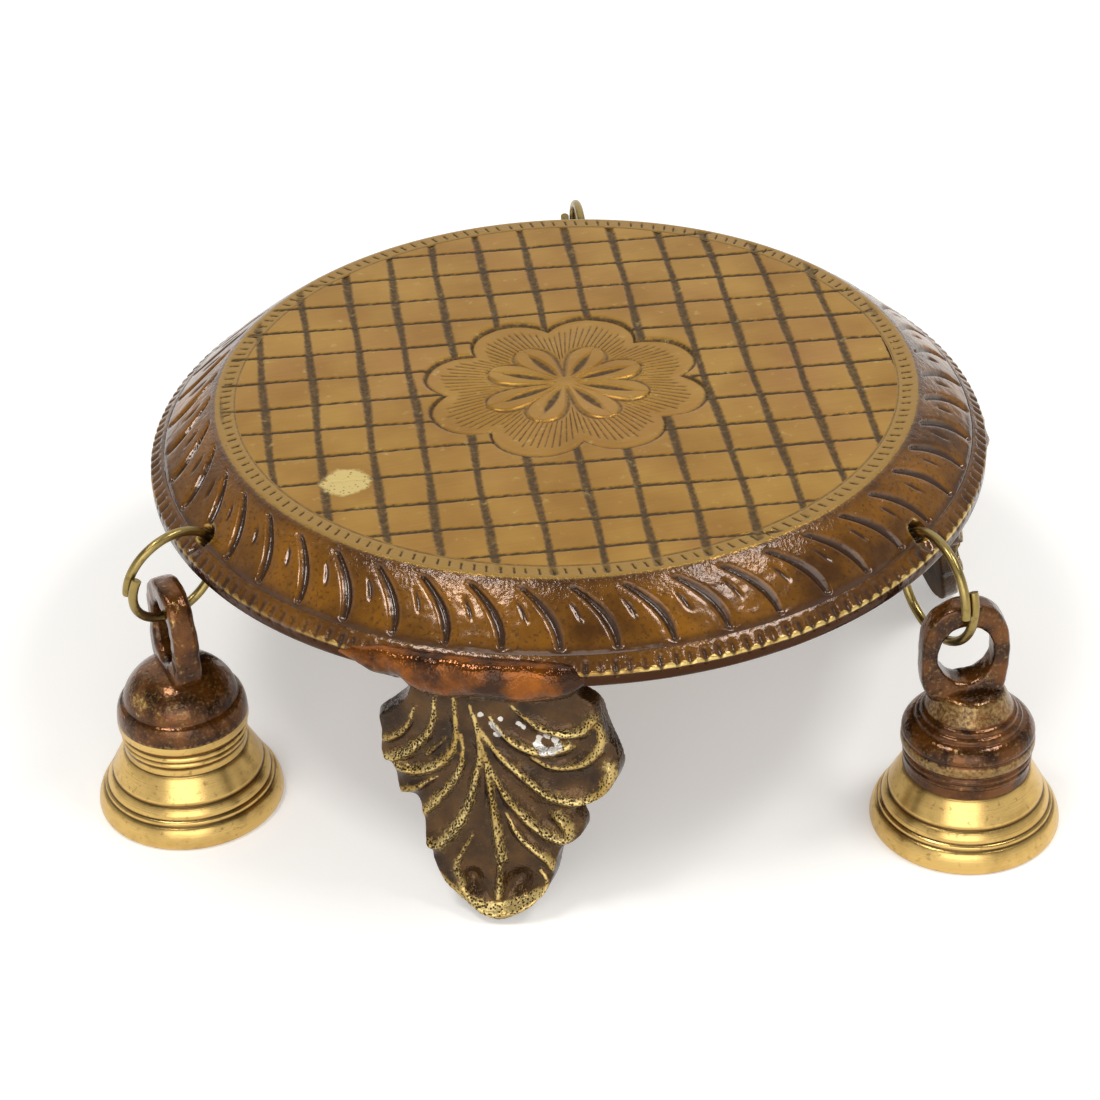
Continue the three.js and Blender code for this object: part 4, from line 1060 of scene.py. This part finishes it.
def upright_circle(form, segments, radius, place, **settings):
    """Adds a circle that stands across Y at a place, ready to be spun into a ring"""
    circle = bmesh.ops.create_circle(form, segments=segments, radius=radius, **settings)["verts"]
    bmesh.ops.rotate(form, verts=circle, cent=(0, 0, 0), matrix=Matrix.Rotation(math.pi / 2, 3, "X"))
    bmesh.ops.translate(form, verts=circle, vec=place)
    return circle


def spin_round(form, parts, steps):
    bmesh.ops.spin(form, geom=parts, cent=(0, 0, 0), axis=(0, 0, 1), angle=2 * math.pi, steps=steps,
                   use_merge=True)


def eye_form(form, shift):
    """The cast eye: a thick link with flattened sides, heavier above and below, on a rough neck"""
    ring = bmesh.new()
    ring_reach = 4
    upright_circle(ring, 28, 1, (ring_reach, 0, 0))
    spin_round(ring, ring.verts[:] + ring.edges[:], 96)
    bmesh.ops.remove_doubles(ring, verts=ring.verts, dist=1e-5)
    spot = places(ring.verts)
    turn = np.arctan2(spot[:, 1], spot[:, 0])
    inout = np.hypot(spot[:, 0], spot[:, 1]) - ring_reach
    thick = spot[:, 2]
    bottom = np.clip(-np.sin(turn), 0, 1)
    length = np.maximum(np.hypot(inout, thick), 1e-6)
    square = 1 / np.maximum((np.abs(inout / length) ** 6 + np.abs(thick / length) ** 6) ** (1 / 6), 0.5)
    bend = np.where(np.sin(turn) > 0, 2.5, 3.6)
    hole = 1 / np.hypot(np.cos(turn) / eye_hole_half[0], np.sin(turn) / eye_hole_half[1])
    block = np.abs(np.cos(turn) / eye_half[0]) ** bend + np.abs(np.sin(turn) / eye_half[1]) ** bend
    block = block ** (-1 / bend)
    half = (block - hole) / 2
    lump = np.sin(5 * turn + 1) + np.sin(11 * turn + 2.5 * thick) * np.sin(3 * turn + thick)
    rough = 1 + 0.03 * lump
    reach = (block + hole) / 2 + inout * square * half * rough
    x = thick * square * (eye_half_thickness + 0.9 * bottom**2) * rough
    y = reach * np.cos(turn) + shift
    z = reach * np.sin(turn) + eye_base + eye_centre
    move_points(ring.verts, np.stack([x, y, z], axis=1))
    face_outward(ring)
    eye = mesh_of("eye", ring)
    form.from_mesh(eye)
    bpy.data.meshes.remove(eye)


bell_brass, tree, shader, place = start_material("bell_brass")
turning = put(tree, "CombineXYZ", {"Z": mark_of(tree, "up")})
lathe = noise(tree, turning.outputs[0], 3.2, 4.0)
gold = blend(tree, lathe, (0.55, 0.35, 0.10), (0.79, 0.545, 0.20))
stain = mapped(tree, noise(tree, place, 70.0, 4.0, 0.6), 0.48, 0.72, high=0.55)
gold = blend(tree, stain, gold, (0.30, 0.175, 0.045))
freckle = mapped(tree, noise(tree, place, 700.0, 3.0), 0.6, 0.72, high=0.6)
gold = blend(tree, freckle, gold, (0.24, 0.14, 0.045))
gold = blend(tree, ragged(tree, "hollow", 0.1, 0.7, 0.4, 300.0), gold, (0.13, 0.07, 0.022))
cloud = mapped(tree, noise(tree, place, 150.0, 4.0), 0.38, 0.62)
brown = blend(tree, cloud, (0.036, 0.012, 0.003), (0.150, 0.052, 0.009))
thin = ragged(tree, "thin", 0.15, 1.0, 2.2, 1000.0)
brown = blend(tree, thin, brown, (0.31, 0.195, 0.065))
covered = ragged(tree, "lacquer", 0.4, 0.6, 0.35, 330.0)
chips = ragged(tree, "worn", 0.5, 0.8, 1.2, 420.0)
covered = calculated(tree, "MULTIPLY", covered, calculated(tree, "SUBTRACT", 1.0, chips))
bell_metal, bell_rough = mapped(tree, covered, low=1.0, high=0.5), mapped(tree, covered, low=0.27, high=0.13)
fill(tree, shader, {"Base Color": blend(tree, covered, gold, brown), "Metallic": bell_metal,
                    "Roughness": bell_rough, "Specular IOR Level": lacquer_gloss})
bell_grain = calculated(tree, "MULTIPLY", cast_grain(tree, 900.0, 300.0, 0.3)["Height"], covered)
bell_skin = calculated(tree, "MULTIPLY_ADD", lathe, 0.35, bell_grain)
bumped(tree, shader, bell_skin, 0.0002, 0.7)


def station_turn(station):
    angle = math.radians(station["at"])
    reach = station["reach"] * mm
    place = Vector((reach * math.cos(angle), reach * math.sin(angle), floor_level))
    return Matrix.Translation(place) @ Matrix.Rotation(math.radians(station["turn"]), 4, "Z")


for name, station in bell_stations.items():
    crown = crowns[name]
    bell = spun(rounded(bell_inside, 1) + rounded(bell_outside + crown, 1), bell_steps, closed=False)
    eye_form(bell, station["shift"])
    mesh = mesh_of(f"{name}_bell", bell)
    points = read_all(mesh.vertices, "co", 3) / mm
    proud = (points - smoothed(mesh, 6) / mm) * read_all(mesh.vertices, "normal", 3)
    relief = proud.sum(axis=1)
    level = points[:, 2]
    reach = np.hypot(points[:, 0], points[:, 1])
    dome_reach = along_table([(height, wide) for wide, height in crown[-dome_points:]], level)
    is_eye = (level > bell_top + 0.05) | ((level > bell_top - 4) & (reach > dome_reach + 0.25))
    inside = (reach < along_table(bell_lining, level)) & (level < 36.2)
    lacquer = ramp(station["lacquer"] - 0.5, station["lacquer"] + 0.5, level) * (1 - inside)
    ledge = ramp(25.7, 26.2, level) * (1 - ramp(28.6, 29.2, level)) * (reach < 19)
    worn = np.clip(relief / 0.1, 0, 1) * 0.38
    chip_way = np.linalg.norm(points - chip_place, axis=1)
    worn = np.maximum(worn, 0.62 * (name == "left") * (1 - ramp(2, 5.5, chip_way)))
    dome = ramp(37.2, 38, level) * (1 - ramp(42, 44, level))
    add_mark(mesh, "up", level)
    add_mark(mesh, "lacquer", lacquer)
    add_mark(mesh, "worn", np.where(is_eye, 0.42 * np.clip(relief / 0.12, 0, 1), worn))
    thin = station["thin"] * dome + 0.5 * ledge + 0.15 * np.clip(relief / 0.1, 0, 1)
    add_mark(mesh, "thin", np.where(is_eye, 0.25 * station["thin"] + 0.05, thin))
    add_mark(mesh, "hollow", np.clip(-relief / 0.1, 0, 1) * (1 - is_eye))
    mesh.transform(station_turn(station))
    piece_of_mesh(f"{name}_cast_bell", mesh, f"{name}_bell", bell_brass, "bell_brass", f"{name}_bell")


# The rings: stiff brass wire wound by hand into one turn and a bit, with square-cut ends
wire_radius = 1.25
wire_pitch = 2 * wire_radius + 0.2
wire_start = math.pi / 8
wire_steps = 260
ring_overlap = 6.5

wire_brass, tree, shader, place = start_material("wire_brass")
cloud = noise(tree, place, 160.0, 4.0)
tone = blend(tree, cloud, (0.20, 0.14, 0.042), (0.40, 0.30, 0.11))
tarnish = mapped(tree, noise(tree, place, 420.0, 4.0), 0.56, 0.72, high=0.6)
tone = blend(tree, tarnish, tone, (0.12, 0.085, 0.04))
fill(tree, shader, {"Base Color": tone, "Metallic": 1.0, "Roughness": 0.3})
bumped(tree, shader, cast_grain(tree, 1100.0, 500.0, 0.25)["Height"], 0.0001, 0.6)

for name, station in ring_stations.items():
    radius = station["radius"]
    drop = math.radians(station["drop"])
    centre = Vector((radius * math.cos(drop), -radius * math.sin(drop), 0)) * mm
    turns = 1 + ring_overlap / (2 * math.pi * radius)
    wire = bmesh.new()
    rise = turns * wire_pitch * mm
    section = upright_circle(wire, 24, wire_radius * mm, (radius * mm, 0, -rise / 2), cap_ends=True)
    bmesh.ops.rotate(wire, verts=section, cent=(0, 0, 0), matrix=Matrix.Rotation(wire_start, 3, "Z"))
    bmesh.ops.spin(wire, geom=wire.faces[:] + wire.edges[:] + wire.verts[:], cent=(0, 0, 0), axis=(0, 0, -1),
                   angle=turns * 2 * math.pi, steps=wire_steps, dvec=(0, 0, rise / wire_steps))
    bmesh.ops.remove_doubles(wire, verts=wire.verts, dist=merge_distance)
    face_outward(wire)
    bmesh.ops.translate(wire, verts=wire.verts, vec=centre)
    bmesh.ops.transform(wire, matrix=ring_frame(station), verts=wire.verts)
    piece_of_form(f"{name}_wire_ring", wire, f"{name}_ring", wire_brass, "ring_brass", f"{name}_ring")


# Inside each bell: a wire staple cast into the crown, and a turned iron drop hung on it by a hook.
# Neither shows in the photograph. Under the top: bosses, and two slotted screws up into each leg's pad.
old_iron, tree, shader, place = start_material("old_iron")
cloud = noise(tree, place, 300.0, 4.0)
tone = blend(tree, cloud, (0.055, 0.042, 0.034), (0.16, 0.13, 0.11))
fill(tree, shader, {"Base Color": tone, "Metallic": 0.9, "Roughness": 0.5})
bumped(tree, shader, cast_grain(tree, 900.0, 400.0, 0.4)["Height"], 0.0002, 0.8)

hook_level = 30.9
hook_reach = 1.9
hook_wire_radius = 0.7
ball_level = hook_level - 22
clapper_line = [
    (0, ball_level - 4.4), (2.4, ball_level - 4.2), (4.4, ball_level - 1.5), (4.4, ball_level + 1.2),
    (3, ball_level + 3.6), (1.3, ball_level + 6.5), (1.1, hook_level - 3.2), (0.6, hook_level - 2),
    (0, hook_level - 1.9),
]
for name, station in bell_stations.items():
    clapper = spun(rounded(clapper_line, 2), 48, closed=False)
    hook = upright_circle(clapper, 16, hook_wire_radius * mm, (hook_reach * mm, 0, 0))
    hook_edges = edges_between(clapper, hook)
    before = set(clapper.verts)
    spin_round(clapper, hook + hook_edges, 40)
    hook_all = hook + [vertex for vertex in clapper.verts if vertex not in before]
    bmesh.ops.rotate(clapper, verts=hook_all, cent=(0, 0, 0), matrix=Matrix.Rotation(math.pi / 2, 3, "X"))
    bmesh.ops.translate(clapper, verts=hook_all, vec=(0, 0, hook_level * mm))
    face_outward(clapper)
    bmesh.ops.transform(clapper, matrix=station_turn(station), verts=clapper.verts)
    node = f"{name}_clapper"
    piece_of_form(f"{name}_clapper_drop", clapper, node, old_iron, "clapper_iron", node)

plain_parts = [(f"{name}_clapper_staple", wire_brass) for name in bell_stations]
plain_parts += [(f"leg_{number}_screw_{side}", old_iron) for number in (1, 2, 3) for side in (1, 2)]
for node, material in plain_parts:
    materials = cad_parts[node].data.materials
    materials.clear()
    materials.append(material)

boss_radius = 4.6
boss_height = 11.5
boss_circle, boss_aside, boss_level = 93.5, 8.5, -9.2
bosses = bmesh.new()
for angle in leg_angles:
    for side in (-1, 1):
        boss = bmesh.ops.create_cone(bosses, cap_ends=True, segments=32, radius1=boss_radius * mm,
                                     radius2=boss_radius * mm, depth=boss_height * mm)["verts"]
        place = Matrix.Translation(Vector((boss_circle, side * boss_aside, boss_level)) * mm)
        bmesh.ops.transform(bosses, matrix=Matrix.Rotation(math.radians(angle), 4, "Z") @ place, verts=boss)
piece_of_form("screw_bosses", bosses, "base", lacquered_brass, "top_brass", "table_top")
